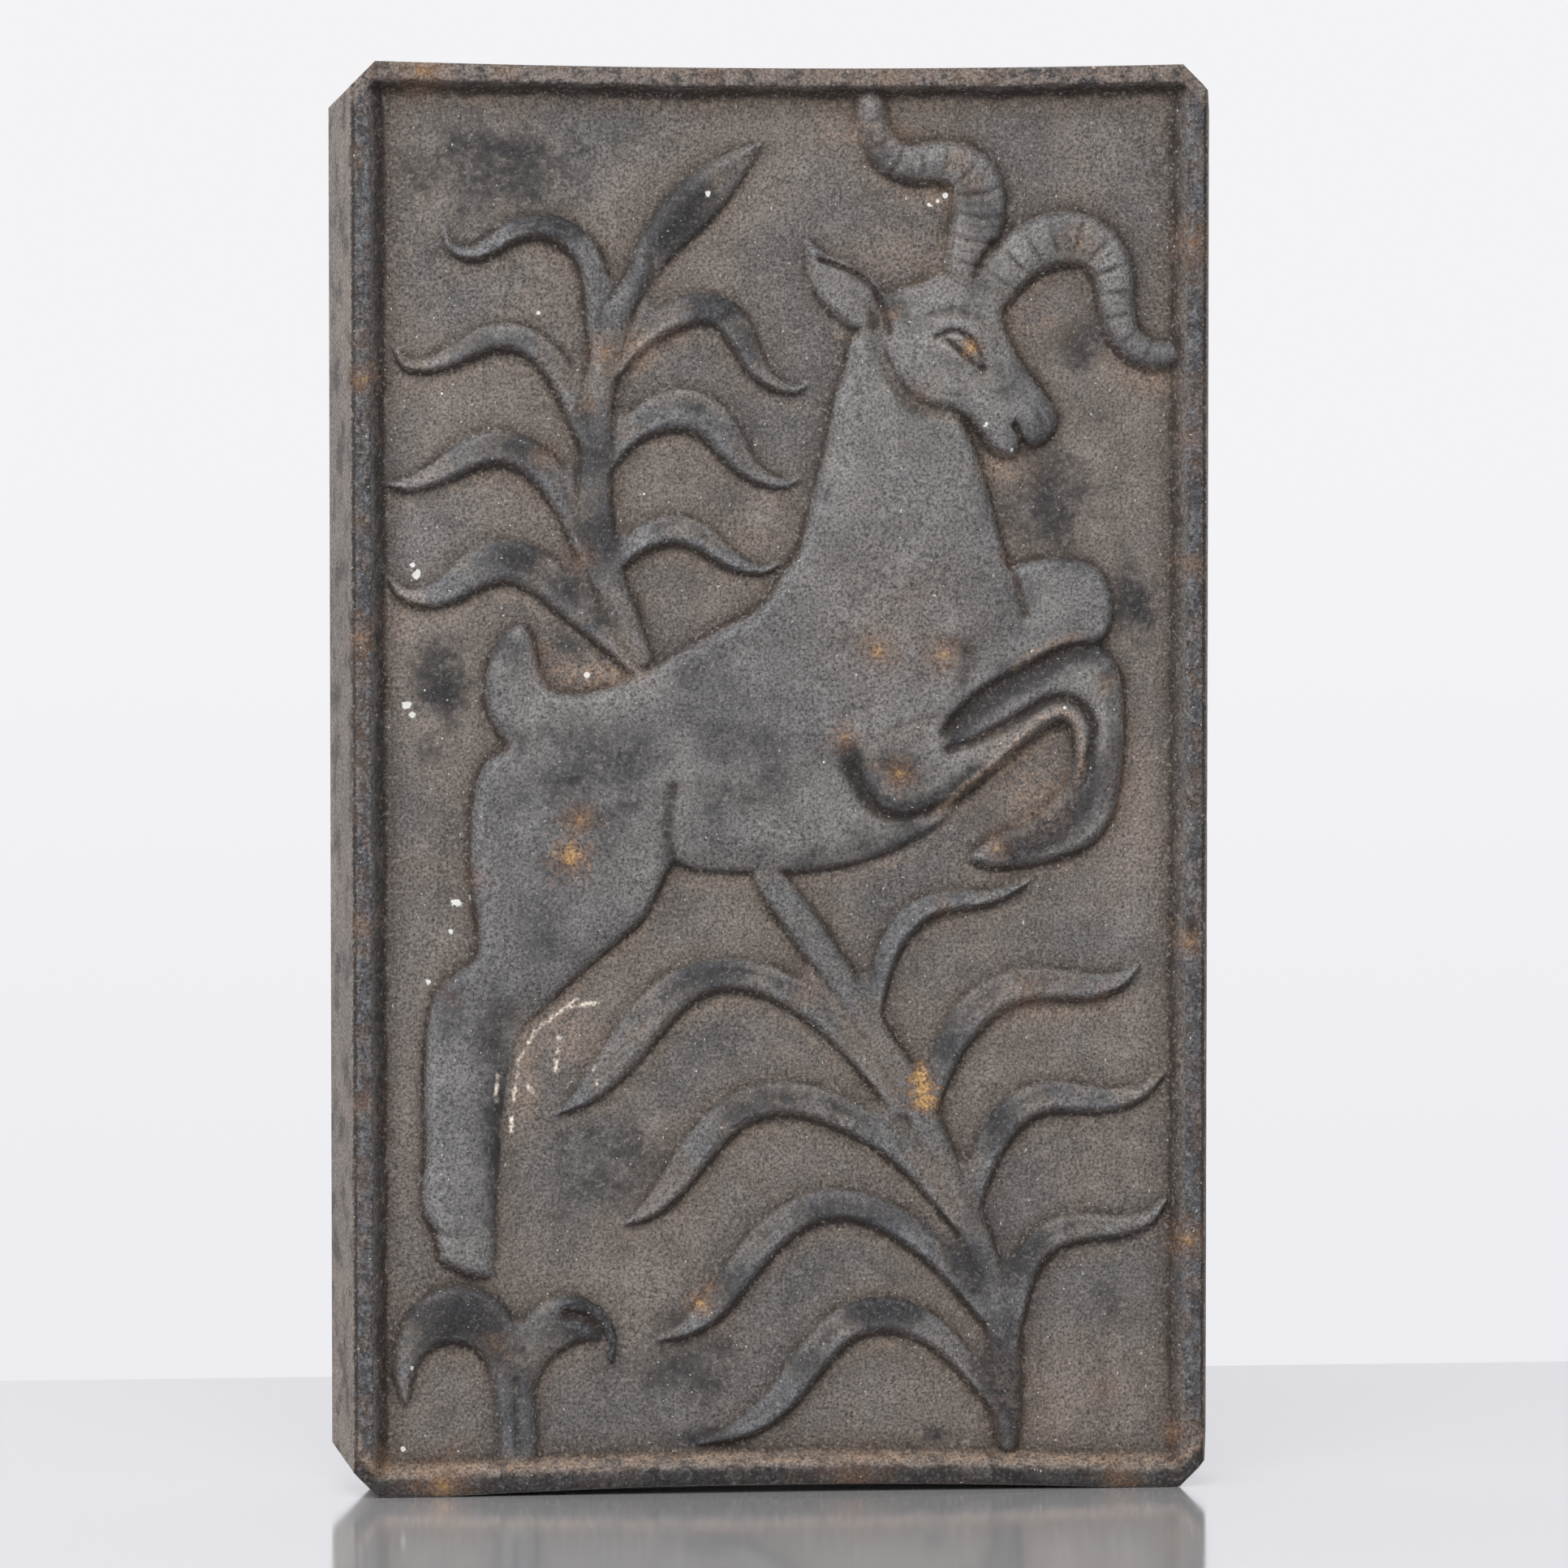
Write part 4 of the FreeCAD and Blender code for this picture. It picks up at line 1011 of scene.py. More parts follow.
def border_loop(half, end, cut, low, high, level, arch_share=None):
    """The border's points on one outline of the casting, at one depth; an arch share bows its ends."""
    x = border_x * end / flat_end
    z = np.where(upper, high, low)
    if arch_share:
        z = np.where(upper, top_line(border_x), foot_line(border_x, arch_share))
    along_cut = (np.abs(border_x) - flat_end) / corner_cut
    x = np.where(on_cut, np.sign(border_x) * (end + along_cut * (half - end)), x)
    z = np.where(on_cut, np.where(upper, high - along_cut * cut, low + along_cut * cut), z)
    side_share = border_z / (middle - corner_cut)
    x = np.where(on_side, np.sign(border_x) * half, x)
    side_middle = (high + low) / 2
    z = np.where(on_side, side_middle + side_share * ((high - low) / 2 - cut), z)
    return np.column_stack([x, np.full(len(border), level), z])


def flare_at(level):
    """How far the side walls have flared out at one depth."""
    return side_flare * (level - front_level) / (back_level - front_level)


def outer_loop(level, shrink=0.0):
    """The outside at one depth, drawn in a little."""
    flare = flare_at(level)
    arch_share = 1 - arch_loss * unit((level - front_level - arch_start) / arch_run)
    loop = border_loop(front_half + flare, flat_end, corner_cut + flare, -middle, middle, level, arch_share)
    return loop * [1 - shrink / front_half, 1, 1 - shrink / middle]


def hollow_loop(level, draft, grow=0.0):
    """The hollow's outline at one depth."""
    half = front_half + flare_at(level) - wall_thickness + grow
    low = wall_thickness + foot_rise + draft - grow - middle
    high = middle - wall_thickness - top_dip - draft + grow
    return border_loop(half, half - cavity_corner, cavity_corner, low, high, level)


edge_run = np.arange(len(border)) * grid_step
roughness = 0.5 + 0.25 * np.sin(edge_run / 6.1) + 0.25 * np.sin(edge_run / 2.7 + 1.0)
side_levels = np.linspace(front_level + 1.6, back_level - 1.0, 9)
loops = []
for level in side_levels:
    rough = random.standard_normal(len(border))
    rough = np.convolve(np.concatenate([rough[-8:], rough, rough[:8]]), np.ones(17) / 17, mode="valid")
    loops.append(outer_loop(level, 0.12) * (1 - 0.0012 * np.abs(rough * roughness)[:, None] * [1, 0, 0.6]))
loops.append(outer_loop(back_level - 0.3, 0.25))
loops.append(outer_loop(back_level, 0.9))
loops.append(hollow_loop(back_level, 0.0, 0.8))
loops.append(hollow_loop(back_level - 0.8, 0.0))
loops += [hollow_loop(level, cavity_draft * (back_level - level) / (back_level - floor_level))
          for level in np.linspace(back_level - 5, floor_level + 2, 4)]
loops.append(hollow_loop(floor_level + 0.5, cavity_draft, -0.6))
loops.append(hollow_loop(floor_level, cavity_draft, -2.0))
print("border", len(border), "points,", len(loops), "loops")

# %% Skin
face_points = np.column_stack([grid_x.ravel(), field_level - face.ravel(), grid_z.ravel()])
points = np.vstack([face_points] + loops)
points[:, 2] += middle
corner = np.arange((rows - 1) * columns).reshape(rows - 1, columns)[:, :-1].ravel()
quads = [np.column_stack([corner, corner + 1, corner + columns + 1, corner + columns])]
first = border
for number in range(len(loops)):
    second = len(face_points) + number * len(border) + np.arange(len(border))
    quads.append(np.column_stack([first, second, np.roll(second, -1), np.roll(first, -1)]))
    first = second
quads = np.vstack(quads)
hollow_floor = first[::-1]


def skin_mesh(name, places, four_sided, many_sided):
    """A mesh from arrays: quads, and one many-sided face."""
    mesh = bpy.data.meshes.new(name)
    corners = np.concatenate([four_sided.ravel(), many_sided])
    starts = np.append(np.arange(len(four_sided)) * 4, len(four_sided) * 4)
    mesh.vertices.add(len(places))
    mesh.vertices.foreach_set("co", (places * mm).ravel())
    mesh.loops.add(len(corners))
    mesh.loops.foreach_set("vertex_index", corners.astype(np.int32))
    mesh.polygons.add(len(starts))
    mesh.polygons.foreach_set("loop_start", starts.astype(np.int32))
    mesh.update(calc_edges=True)
    return mesh


def plain_mesh(carrier, name):
    """The evaluated object as a mesh of its own."""
    evaluated = carrier.evaluated_get(bpy.context.evaluated_depsgraph_get())
    mesh = bpy.data.meshes.new_from_object(evaluated)
    mesh.name = name
    return mesh


triangle_budget = 176_000
carrier = placed("casting_carrier", skin_mesh("fine_skin", points, quads, hollow_floor))
thinning = carrier.modifiers.new("thinning", "DECIMATE")
thinning.ratio = triangle_budget / (2 * len(quads) + len(border) - 2)
thinning.use_collapse_triangulate = True
casting_mesh = plain_mesh(carrier, "casting")
bpy.data.objects.remove(carrier)
print("casting triangles", len(casting_mesh.polygons))

# %% [markdown]
# ## Bosses
# Four round bosses stand on the hollow's floor: two carry the hanger bar, two the rubber pads. Each is turned
# from a profile with a small fillet at its root, and becomes part of the casting's mesh.

# %% Bosses
def turned(profile, x, z, sides=48, ring=False):
    """A closed bmesh round an axis along Y from rows of (radius, level): capped, or a ring round a hole."""
    made = bmesh.new()
    rings = []
    for radius, level in profile:
        angles = [2 * math.pi * step / sides for step in range(sides)]
        rings.append([made.verts.new(Vector((x + radius * math.cos(a), level, z + radius * math.sin(a))) * mm)
                      for a in angles])
    upper_rings = rings[1:] + rings[:1] if ring else rings[1:]
    for lower, higher in zip(rings, upper_rings):
        for step in range(sides):
            after = (step + 1) % sides
            made.faces.new([lower[step], lower[after], higher[after], higher[step]])
    if not ring:
        made.faces.new(rings[0])
        made.faces.new(rings[-1][::-1])
    bmesh.ops.recalc_face_normals(made, faces=made.faces)
    return made


def join_into(mesh, pieces):
    """Add finished bmeshes to a mesh."""
    whole = bmesh.new()
    whole.from_mesh(mesh)
    for piece in pieces:
        extra = bpy.data.meshes.new("extra")
        piece.to_mesh(extra)
        piece.free()
        whole.from_mesh(extra)
        bpy.data.meshes.remove(extra)
    bmesh.ops.triangulate(whole, faces=[face for face in whole.faces if len(face.verts) > 4])
    whole.to_mesh(mesh)
    whole.free()


def boss(x, z, radius, seat):
    """A round boss with a fillet at its root."""
    return turned([(radius + 2.2, floor_level - 0.6), (radius + 1.6, floor_level + 0.1),
                   (radius + 0.5, floor_level + 1.0), (radius, floor_level + 2.2), (radius, seat - 0.7),
                   (radius - 0.7, seat)], x, z)


washer_radius = 6.0
pad_radius = 9.0
seat_gap = 0.05
both_sides = (-1, 1)
bar_low, bar_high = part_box("hanger_bar")
bolt_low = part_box("hanger_bolts")[0]
pad_low, pad_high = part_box("wall_pads")
bar_level = (bar_low.z + bar_high.z) / 2 / mm
bolt_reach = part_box("hanger_washers")[1].x / mm - washer_radius
pad_level = (pad_low.z + pad_high.z) / 2 / mm
pad_reach = pad_high.x / mm - pad_radius
bar_bosses = [boss(side * bolt_reach, bar_level, 9.0, bar_low.y / mm - seat_gap) for side in both_sides]
pad_bosses = [boss(side * pad_reach, pad_level, 10.0, pad_low.y / mm - seat_gap) for side in both_sides]
join_into(casting_mesh, bar_bosses + pad_bosses)
print("bosses at", round(bolt_reach, 2), round(pad_reach, 2))

# %% [markdown]
# ## Attributes on the casting
# Every vertex of the face takes each map's value between its four nearest grid points. Decimation can push a
# vertex a few micrometres past the frame's box, so heights are clipped first.

# %% Attributes on the casting
face_margin = 0.6
wall_margin = 0.3
last_cell = 1.001
spots = np.zeros(len(casting_mesh.vertices) * 3)
casting_mesh.vertices.foreach_get("co", spots)
spots = spots.reshape(-1, 3) / mm
spots[:, 2] = np.clip(spots[:, 2], 0, 2 * middle)
casting_mesh.vertices.foreach_set("co", (spots * mm).ravel())
spot_z = spots[:, 2] - middle
on_face = spots[:, 1] < field_level + face_margin
column_place = np.clip((spots[:, 0] + front_half) / grid_step, 0, columns - last_cell)
lower_edge = foot_line(spots[:, 0])
row_place = (spot_z - lower_edge) / (top_line(spots[:, 0]) - lower_edge) * (rows - 1)
row_place = np.clip(row_place, 0, rows - last_cell)
left, below = column_place.astype(int), row_place.astype(int)
right_share, up_share = column_place - left, row_place - below
vertex_values = {"side_wall": np.abs(spots[:, 0]) > front_half - wall_margin}
for name, values in maps.items():
    lower_row = values[below, left] * (1 - right_share) + values[below, left + 1] * right_share
    upper_row = values[below + 1, left] * (1 - right_share) + values[below + 1, left + 1] * right_share
    vertex_values[name] = (lower_row * (1 - up_share) + upper_row * up_share) * on_face
for name, values in vertex_values.items():
    attribute = casting_mesh.attributes.new(name, "FLOAT", "POINT")
    attribute.data.foreach_set("value", values.astype(np.float32))
casting_mesh.polygons.foreach_set("use_smooth", np.ones(len(casting_mesh.polygons), bool))
casting = placed("plaque_relief_casting", casting_mesh)
print("attributes", list(vertex_values))

# %% [markdown]
# ## Rust, specks and strands
# The larger rust spots, white specks and pale strands lie where they were seen, so each is a row of numbers:
# a place with a reach and a strength, or two ends. A node group works out one of them, and a loop adds the
# rest.

# %% Rust, specks and strands
rust_spots = [
    (39.6, -83.5, 7.6, 1.25), (40.0, -87.0, 8.0, 1.3), (40.8, -90.5, 7.6, 1.25), (-58.8, -21, 12, 1.0),
    (-56.5, -11, 12, 0.8), (27.3, 36.5, 11, 0.85), (45.6, 35, 11, 0.8), (33.5, 1.5, 11, 0.85),
    (53.4, 120.8, 6.5, 1.0),
    (-22.5, -147, 8.0, 0.9), (-20, -143, 7.0, 0.7), (61, -19.5, 8.0, 0.8), (31.6, 130, 6.0, 0.7),
    (50, 174, 9.0, 0.6), (53.5, 167, 9.0, 0.5), (-48.8, 119.5, 10, 0.75), (-53.5, 105, 7.0, 0.6),
    (92, 27, 8.0, 0.55), (18, 12, 9.0, 0.8), (-93, -60, 8.0, 0.4), (-85, -27, 8.0, 0.5),
    (84, 150, 14, 0.55), (-66, 37, 8.0, 0.5), (-80, -158, 9.0, 0.5), (63, 62, 6.0, 0.5),
    (40, 108, 10, 0.45), (70, -60, 12, 0.55), (46, -36, 10, 0.45), (-30, 125, 10, 0.45), (-42, 122, 8.0, 0.6),
    (-66, 91, 10, 0.5), (-55, 62, 9.0, 0.5), (90, -61, 10, 0.45), (8, -60, 10, 0.5), (26, 4, 5.0, 0.6),
    (92, -172, 9.0, 0.5), (-90, -187, 10, 0.4), (-117, 40, 8.0, 0.8), (-116.5, 112, 9.0, 0.8),
    (116, 60, 9.0, 0.7), (115, -46, 9.0, 0.8), (115, -130, 12, 0.8), (116, 150, 14, 0.7), (116, 95, 9.0, 0.6),
    (-117, -40, 9.0, 0.7), (-117, -90, 9.0, 0.6), (-100, 197, 14, 0.8), (30, 196.5, 9.0, 0.5),
    (-20, 196.5, 9.0, 0.45), (-95, -197, 16, 0.8), (20, -197, 18, 0.6), (96, -197, 16, 0.6),
    (112, -185, 10, 0.7), (-112, -190, 9.0, 0.6),
]
white_specks = [
    (-20.2, 163.6, 1.0), (-101.8, 57.6, 1.2), (-102.6, 60.2, 0.8), (-104.2, 21.3, 1.2), (-103, 18.8, 0.9),
    (46.6, 163.4, 1.1), (44.4, 161.8, 0.8), (42, 160.8, 0.7), (-90.4, -34, 1.1), (-92.2, -42, 0.9),
    (-98.5, -56, 0.9), (-54, 29.6, 1.1), (-67.5, 130.5, 0.7), (65, 92.3, 0.7), (57.8, 99.6, 0.6),
    (-94.4, 108, 0.5), (-103.5, -164, 0.7), (-106, -187, 0.9), (12, 5, 0.4), (-38, 80, 0.4), (80, 20, 0.4),
]
cobweb = [
    (-57, -61, -68.5, -70), (-68.5, -70, -73.5, -78.4), (-73.5, -78.4, -75, -91), (-75, -91, -75.4, -98),
    (-62, -72, -63, -81.6), (-52.3, -80, -51.5, -84.8), (-70.6, -85.6, -69.4, -87.4),
    (-79.1, -81.6, -79.6, -89.8), (-60, -63.5, -50, -62),
]


def product_sum(tree, a, b, c, d):
    """Two products added."""
    return plus(tree, times(tree, a, b), times(tree, c, d))


def less(tree, first, second):
    """One value taken from another."""
    return maths(tree, "SUBTRACT", first, second)


def strand_group():
    """A node group for the distance to one straight strand on the face."""
    inputs = dict.fromkeys(("Across", "Up", "X", "Z", "Run X", "Run Z"), "Float")
    group, given, result = new_group("strand", "ShaderNodeTree", inputs, ("Distance", "Float"))
    run_x, run_z = given["Run X"], given["Run Z"]
    off_x = less(group, given["Across"], given["X"])
    off_z = less(group, given["Up"], given["Z"])
    length = product_sum(group, run_x, run_x, run_z, run_z)
    share = maths(group, "DIVIDE", product_sum(group, off_x, run_x, off_z, run_z), length)
    share = maths(group, "MINIMUM", maths(group, "MAXIMUM", share, 0.0), 1.0)
    gap_x = less(group, off_x, times(group, share, run_x))
    gap_z = less(group, off_z, times(group, share, run_z))
    feed(group, result, maths(group, "SQRT", product_sum(group, gap_x, gap_x, gap_z, gap_z), 0.0))
    return group


def spot_group():
    """A node group for one round spot on the face, with a ragged edge."""
    inputs = dict.fromkeys(("Across", "Up", "Ragged", "X", "Z", "Reach"), "Float")
    group, given, result = new_group("ragged_spot", "ShaderNodeTree", inputs, ("Spot", "Float"))
    off_x = less(group, given["Across"], given["X"])
    off_z = less(group, given["Up"], given["Z"])
    gap = maths(group, "SQRT", product_sum(group, off_x, off_x, off_z, off_z), 0.0)
    ragged_gap = times(group, gap, given["Ragged"])
    inside = less(group, 1.0, maths(group, "DIVIDE", ragged_gap, given["Reach"]))
    feed(group, result, maths(group, "MAXIMUM", inside, 0.0))
    return group


def from_group(tree, group, axes, x, z, values):
    """The result of a group for one place on the face, in millimetres."""
    made = add(tree, "ShaderNodeGroup", node_tree=group)
    places = {"Across": axes["X"], "Up": axes["Z"], "X": x * mm, "Z": (z + middle) * mm}
    for name, value in (places | values).items():
        feed(tree, made.inputs[name], value)
    return made.outputs[0]


def nearest_strand(tree, axes, strands):
    """The distance to the nearest of many strands."""
    group = strand_group()
    nearest = 1.0
    for x, z, end_x, end_z in strands:
        run = {"Run X": (end_x - x) * mm, "Run Z": (end_z - z) * mm}
        nearest = maths(tree, "MINIMUM", from_group(tree, group, axes, x, z, run), nearest)
    return nearest


def scattered(tree, group, axes, ragged, places):
    """The strongest of many spots at each point."""
    total = 0.0
    for x, z, reach, strength in places:
        spot = from_group(tree, group, axes, x, z, {"Ragged": ragged, "Reach": reach * mm})
        total = maths(tree, "MAXIMUM", times(tree, spot, strength), total)
    return total


print("spots", len(rust_spots), "rust", len(white_specks), "white")

# %% [markdown]
# ## Sand-cast iron
# Old cast iron shows the sand of its mould as a fine grain. Over it lie a warm grey skin, brown dirt and
# painted shade in every crease and round the raised forms, painted shade on steep and downward-facing flanks,
# black soot with painted shade, bluish metal where it is rubbed, painted highlights along the leaf crests, the
# forearm's ridges and just below each form, tan dust with painted light on the foot's ledge, rust spots and a
# few white specks.
# Each is one layer of colour with its own mask, laid over the last; grain and pits also go to a bump.

# %% Skin of the iron
iron_finish, iron, shader, place = new_material("sand_cast_iron")


def painted(name, strength=1.0):
    """A vertex attribute of the casting, times a strength."""
    return times(iron, add(iron, "ShaderNodeAttribute", attribute_name=name).outputs["Fac"], strength)


grain = noise(iron, place, 0.8, 2.0, 0.65)
speckle = noise(iron, place, 2.4, 3.0, 0.6)
mottle = noise(iron, place, 11, 4.0, 0.6)
patchy = mask(iron, noise(iron, place, 46, 3.0, 0.5), 0.38, 0.62)
blue_or_brown = mask(iron, noise(iron, place, 21, 4.0, 0.6), 0.40, 0.60)

skin = mixed(iron, patchy, colour(0.107, 0.099, 0.095), colour(0.150, 0.127, 0.111))
beast = mixed(iron, patchy, colour(0.162, 0.153, 0.146), colour(0.108, 0.107, 0.111))
skin = mixed(iron, painted("beast", 0.85), skin, beast)
leaf = mixed(iron, blue_or_brown, colour(0.088, 0.090, 0.096), colour(0.138, 0.115, 0.099))
skin = mixed(iron, painted("leafy", 0.75), skin, leaf)
rim_rust = mask(iron, mottle, 0.44, 0.62)
rim_skin = mixed(iron, rim_rust, colour(0.030, 0.030, 0.034), colour(0.086, 0.058, 0.044))
skin = mixed(iron, painted("rim_bar", 0.90), skin, rim_skin)
skin = toned(iron, skin, ranged(iron, mottle, 0.3, 0.7, 1.28, 0.72))
skin = toned(iron, skin, ranged(iron, painted("pale"), 0.0, 1.0, 1.0, 1.45))
# Painted shade with brown dirt: the field beside the raised forms is darkened.
dirt_and_shade_halo = times(iron, painted("dirt_and_shade_halo", 0.74), ranged(iron, mottle, 0.36, 0.60, 1.0, 0.35))
skin = mixed(iron, dirt_and_shade_halo, skin, colour(0.062, 0.045, 0.034))
# Painted highlight: a light tan band just below each form's lower edge.
ledge_highlight = times(iron, painted("ledge_highlight", 0.60), mask(iron, speckle, 0.32, 0.60))
skin = mixed(iron, ledge_highlight, skin, colour(0.27, 0.21, 0.165))
print("ground colours", len(iron.nodes), "nodes")

# %% Soot, painted shade, wear and painted highlights
uneven = product_sum(iron, mottle, 0.9, speckle, 0.8)
uneven = plus(iron, uneven, times(iron, grain, 0.5))
# Soot with painted shade: near black where the soot map and the upper sides of leaf arches are strong.
soot_and_shade = maths(iron, "MAXIMUM", painted("soot_and_shade"), painted("leaf_shade", 0.62))
soot_and_shade = mask(iron, plus(iron, soot_and_shade, less(iron, uneven, 1.1)), 0.20, 0.88)
skin = mixed(iron, times(iron, soot_and_shade, 0.93), skin, colour(0.014, 0.014, 0.017))
foot = times(iron, painted("foot_bar", 0.94), ranged(iron, mottle, 0.40, 0.60, 1.0, 0.72))
skin = mixed(iron, foot, skin, colour(0.010, 0.008, 0.008))
unblackened = ranged(iron, maths(iron, "MAXIMUM", soot_and_shade, painted("foot_bar")), 0.0, 1.0, 1.0, 0.50)
# Wear on what stands proud, with a painted highlight along each leaf's crest: lighter bluish, more metallic,
# less rough.
wear_and_shine = maths(iron, "MAXIMUM", painted("crest", 0.42), painted("leaf_shine", 0.50))
wear_and_shine = times(iron, wear_and_shine, mask(iron, speckle, 0.38, 0.62))
wear_and_shine = times(iron, wear_and_shine, unblackened)
skin = mixed(iron, wear_and_shine, skin, colour(0.235, 0.243, 0.262))
print("with soot and wear", len(iron.nodes), "nodes")

# %% Dirt, dust and painted light
# Brown dirt with painted shade: darker in creases, and painted shade on steep and on downward-facing slopes.
dirt_and_shade = plus(iron, painted("crease"), plus(iron, painted("flank", 0.50), painted("under", 0.45)))
dirt_and_shade = times(iron, dirt_and_shade, ranged(iron, speckle, 0.3, 0.7, 0.70, 1.15))
dirt_and_shade = times(iron, dirt_and_shade, ranged(iron, mottle, 0.32, 0.62, 1.15, 0.60))
dirt_and_shade = times(iron, mask(iron, dirt_and_shade, 0.0, 1.15), 0.92)
skin = mixed(iron, dirt_and_shade, skin, colour(0.024, 0.016, 0.012))
# Tan dust with painted highlights on the forearm's ridges and painted light on the foot's ledge.
dust_and_highlight = times(iron, painted("dust_and_highlight", 0.75), mask(iron, speckle, 0.30, 0.58))
skin = mixed(iron, dust_and_highlight, skin, colour(0.34, 0.238, 0.170))
skin = mixed(iron, painted("side_wall", 0.36), skin, colour(0.25, 0.21, 0.185))
smudge = times(iron, painted("side_wall", 0.62), mask(iron, mottle, 0.50, 0.64))
skin = mixed(iron, smudge, skin, colour(0.034, 0.031, 0.032))
print("with dirt and dust", len(iron.nodes), "nodes")

# %% Strands, rust and specks
axes = add(iron, "ShaderNodeSeparateXYZ", {"Vector": place}).outputs
on_front = mask(iron, times(iron, axes["Y"], -1.0), 6 * mm, 8 * mm)
wobble = ranged(iron, speckle, 0.30, 0.70, -0.4 * mm, 0.6 * mm)
strand = plus(iron, nearest_strand(iron, axes, cobweb), wobble)
strand = ranged(iron, strand, 0.10 * mm, 0.95 * mm, 0.90, 0.0)
strand = times(iron, strand, mask(iron, noise(iron, place, 3.0, 2.0, 0.6), 0.38, 0.58))
skin = mixed(iron, times(iron, strand, on_front), skin, colour(0.70, 0.61, 0.51))
round_spot = spot_group()
ragged = ranged(iron, speckle, 0.25, 0.75, 0.45, 2.2)
rust = scattered(iron, round_spot, axes, ragged, rust_spots)
rust = times(iron, mask(iron, rust, 0.0, 1.1), on_front)
bloom = mask(iron, noise(iron, place, 9, 5.0, 0.65), 0.64, 0.78)
rust = maths(iron, "MAXIMUM", rust, times(iron, bloom, 0.40))
rust_colour = mixed(iron, mask(iron, rust, 0.55, 1.0), colour(0.175, 0.098, 0.056), colour(0.46, 0.27, 0.105))
skin = mixed(iron, times(iron, rust, 0.85), skin, rust_colour)
skin = toned(iron, skin, ranged(iron, grain, 0.30, 0.70, 0.30, 1.70))
pale_grit = times(iron, mask(iron, noise(iron, place, 1.1, 1.0, 0.5), 0.58, 0.70), 0.42)
pale_grit = times(iron, pale_grit, unblackened)
skin = mixed(iron, pale_grit, skin, colour(0.27, 0.245, 0.225))
speck_rows = [(x, z, reach * 1.3, 1.0) for x, z, reach in white_specks]
specks = scattered(iron, round_spot, axes, ragged, speck_rows)
specks = times(iron, mask(iron, specks, 0.05, 0.35), on_front)
salt = times(iron, mask(iron, noise(iron, place, 0.9, 0.0, 0.5), 0.835, 0.86), 0.55)
skin = mixed(iron, maths(iron, "MAXIMUM", specks, salt), skin, colour(0.72, 0.71, 0.68))
print("with spots", len(iron.nodes), "nodes")

# %% Surface of the iron
feed(iron, shader.inputs["Base Color"], skin)
shader.inputs["Specular IOR Level"].default_value = 0.35
feed(iron, shader.inputs["Roughness"], ranged(iron, wear_and_shine, 0.0, 0.5, 0.72, 0.50))
feed(iron, shader.inputs["Metallic"], times(iron, wear_and_shine, 0.6))
pits = plus(iron, grain, times(iron, mask(iron, speckle, 0.34, 0.52), 0.7))
bump = add(iron, "ShaderNodeBump", {"Height": pits, "Strength": 0.6, "Distance": 0.4 * mm})
feed(iron, shader.inputs["Normal"], bump.outputs[0])
casting.data.materials.append(iron_finish)
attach(casting, "plaque")
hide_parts("plaque_casting")
print("cast iron on", casting.name)

# %% [markdown]
# ## Finishes of the hardware
# Nobody sees the back, so its steel was left plain: black scaled strap, dull plated bolts and rivets with
# grey-brown tarnish, a drawn wire with streaks along it, and matt rubber gone dusty. Each is a dark and a
# light tone mixed by noise at the scale of that finish, with a bump of the same noise.

# %% Finishes of the hardware
def metal_finish(name, dark, light, grain, rough, metallic, stretch=(1, 1, 1)):
    """Two tones mixed by noise, with a matching roughness and bump."""
    material, tree, shader, place = new_material(name)
    stretched = add(tree, "ShaderNodeMapping", {"Vector": place, "Scale": stretch}).outputs[0]
    coarse = noise(tree, stretched, grain * 8, 4.0, 0.6)
    fine = noise(tree, stretched, grain, 3.0, 0.6)
    blotch = product_sum(tree, coarse, 0.65, fine, 0.35)
    feed(tree, shader.inputs["Base Color"], mixed(tree, mask(tree, blotch, 0.36, 0.64), dark, light))
    feed(tree, shader.inputs["Roughness"], ranged(tree, blotch, 0.3, 0.7, rough - 0.12, rough + 0.12))
    shader.inputs["Metallic"].default_value = metallic
    bump = add(tree, "ShaderNodeBump", {"Height": fine, "Strength": 0.35, "Distance": 0.15 * mm})
    feed(tree, shader.inputs["Normal"], bump.outputs[0])
    return material


strap_steel = metal_finish("strap_steel", colour(0.040, 0.039, 0.040), colour(0.085, 0.078, 0.072),
                           0.9, 0.52, 0.6)
fastener_steel = metal_finish("fastener_steel", colour(0.25, 0.235, 0.21), colour(0.44, 0.43, 0.41),
                              0.7, 0.42, 0.85)
bail_steel = metal_finish("bail_wire", colour(0.22, 0.21, 0.20), colour(0.38, 0.37, 0.36),
                          0.5, 0.38, 0.9, stretch=(0.25, 1.0, 0.25))
pad_rubber = metal_finish("pad_rubber", colour(0.030, 0.030, 0.032), colour(0.066, 0.064, 0.062),
                          0.6, 0.82, 0.0)
print("finishes", [finish.name for finish in (strap_steel, fastener_steel, bail_steel, pad_rubber)])

# %% [markdown]
# ## Bar and saddle
# The hanger bar and the bent saddle are flat steel, and the CAD solids already have their shape. A copy of
# each is merged from loose triangles, and a bevel eases the sheared edges, as a file would.

# %% Bar and saddle
def dress(piece, node, body, finish):
    """Hand a finished piece to the frame in place of its CAD node."""
    if not piece.data.materials:
        piece.data.materials.append(finish)
    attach(piece, body)
    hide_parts(node)


def as_piece(carrier, name):
    """A carrier's evaluated shape as a plain piece, smooth with sharp corners kept; the carrier goes."""
    mesh = plain_mesh(carrier, name)
    bpy.data.objects.remove(carrier)
    mesh.polygons.foreach_set("use_smooth", np.ones(len(mesh.polygons), bool))
    mesh.set_sharp_from_angle(angle=math.radians(32))
    return placed(name, mesh)


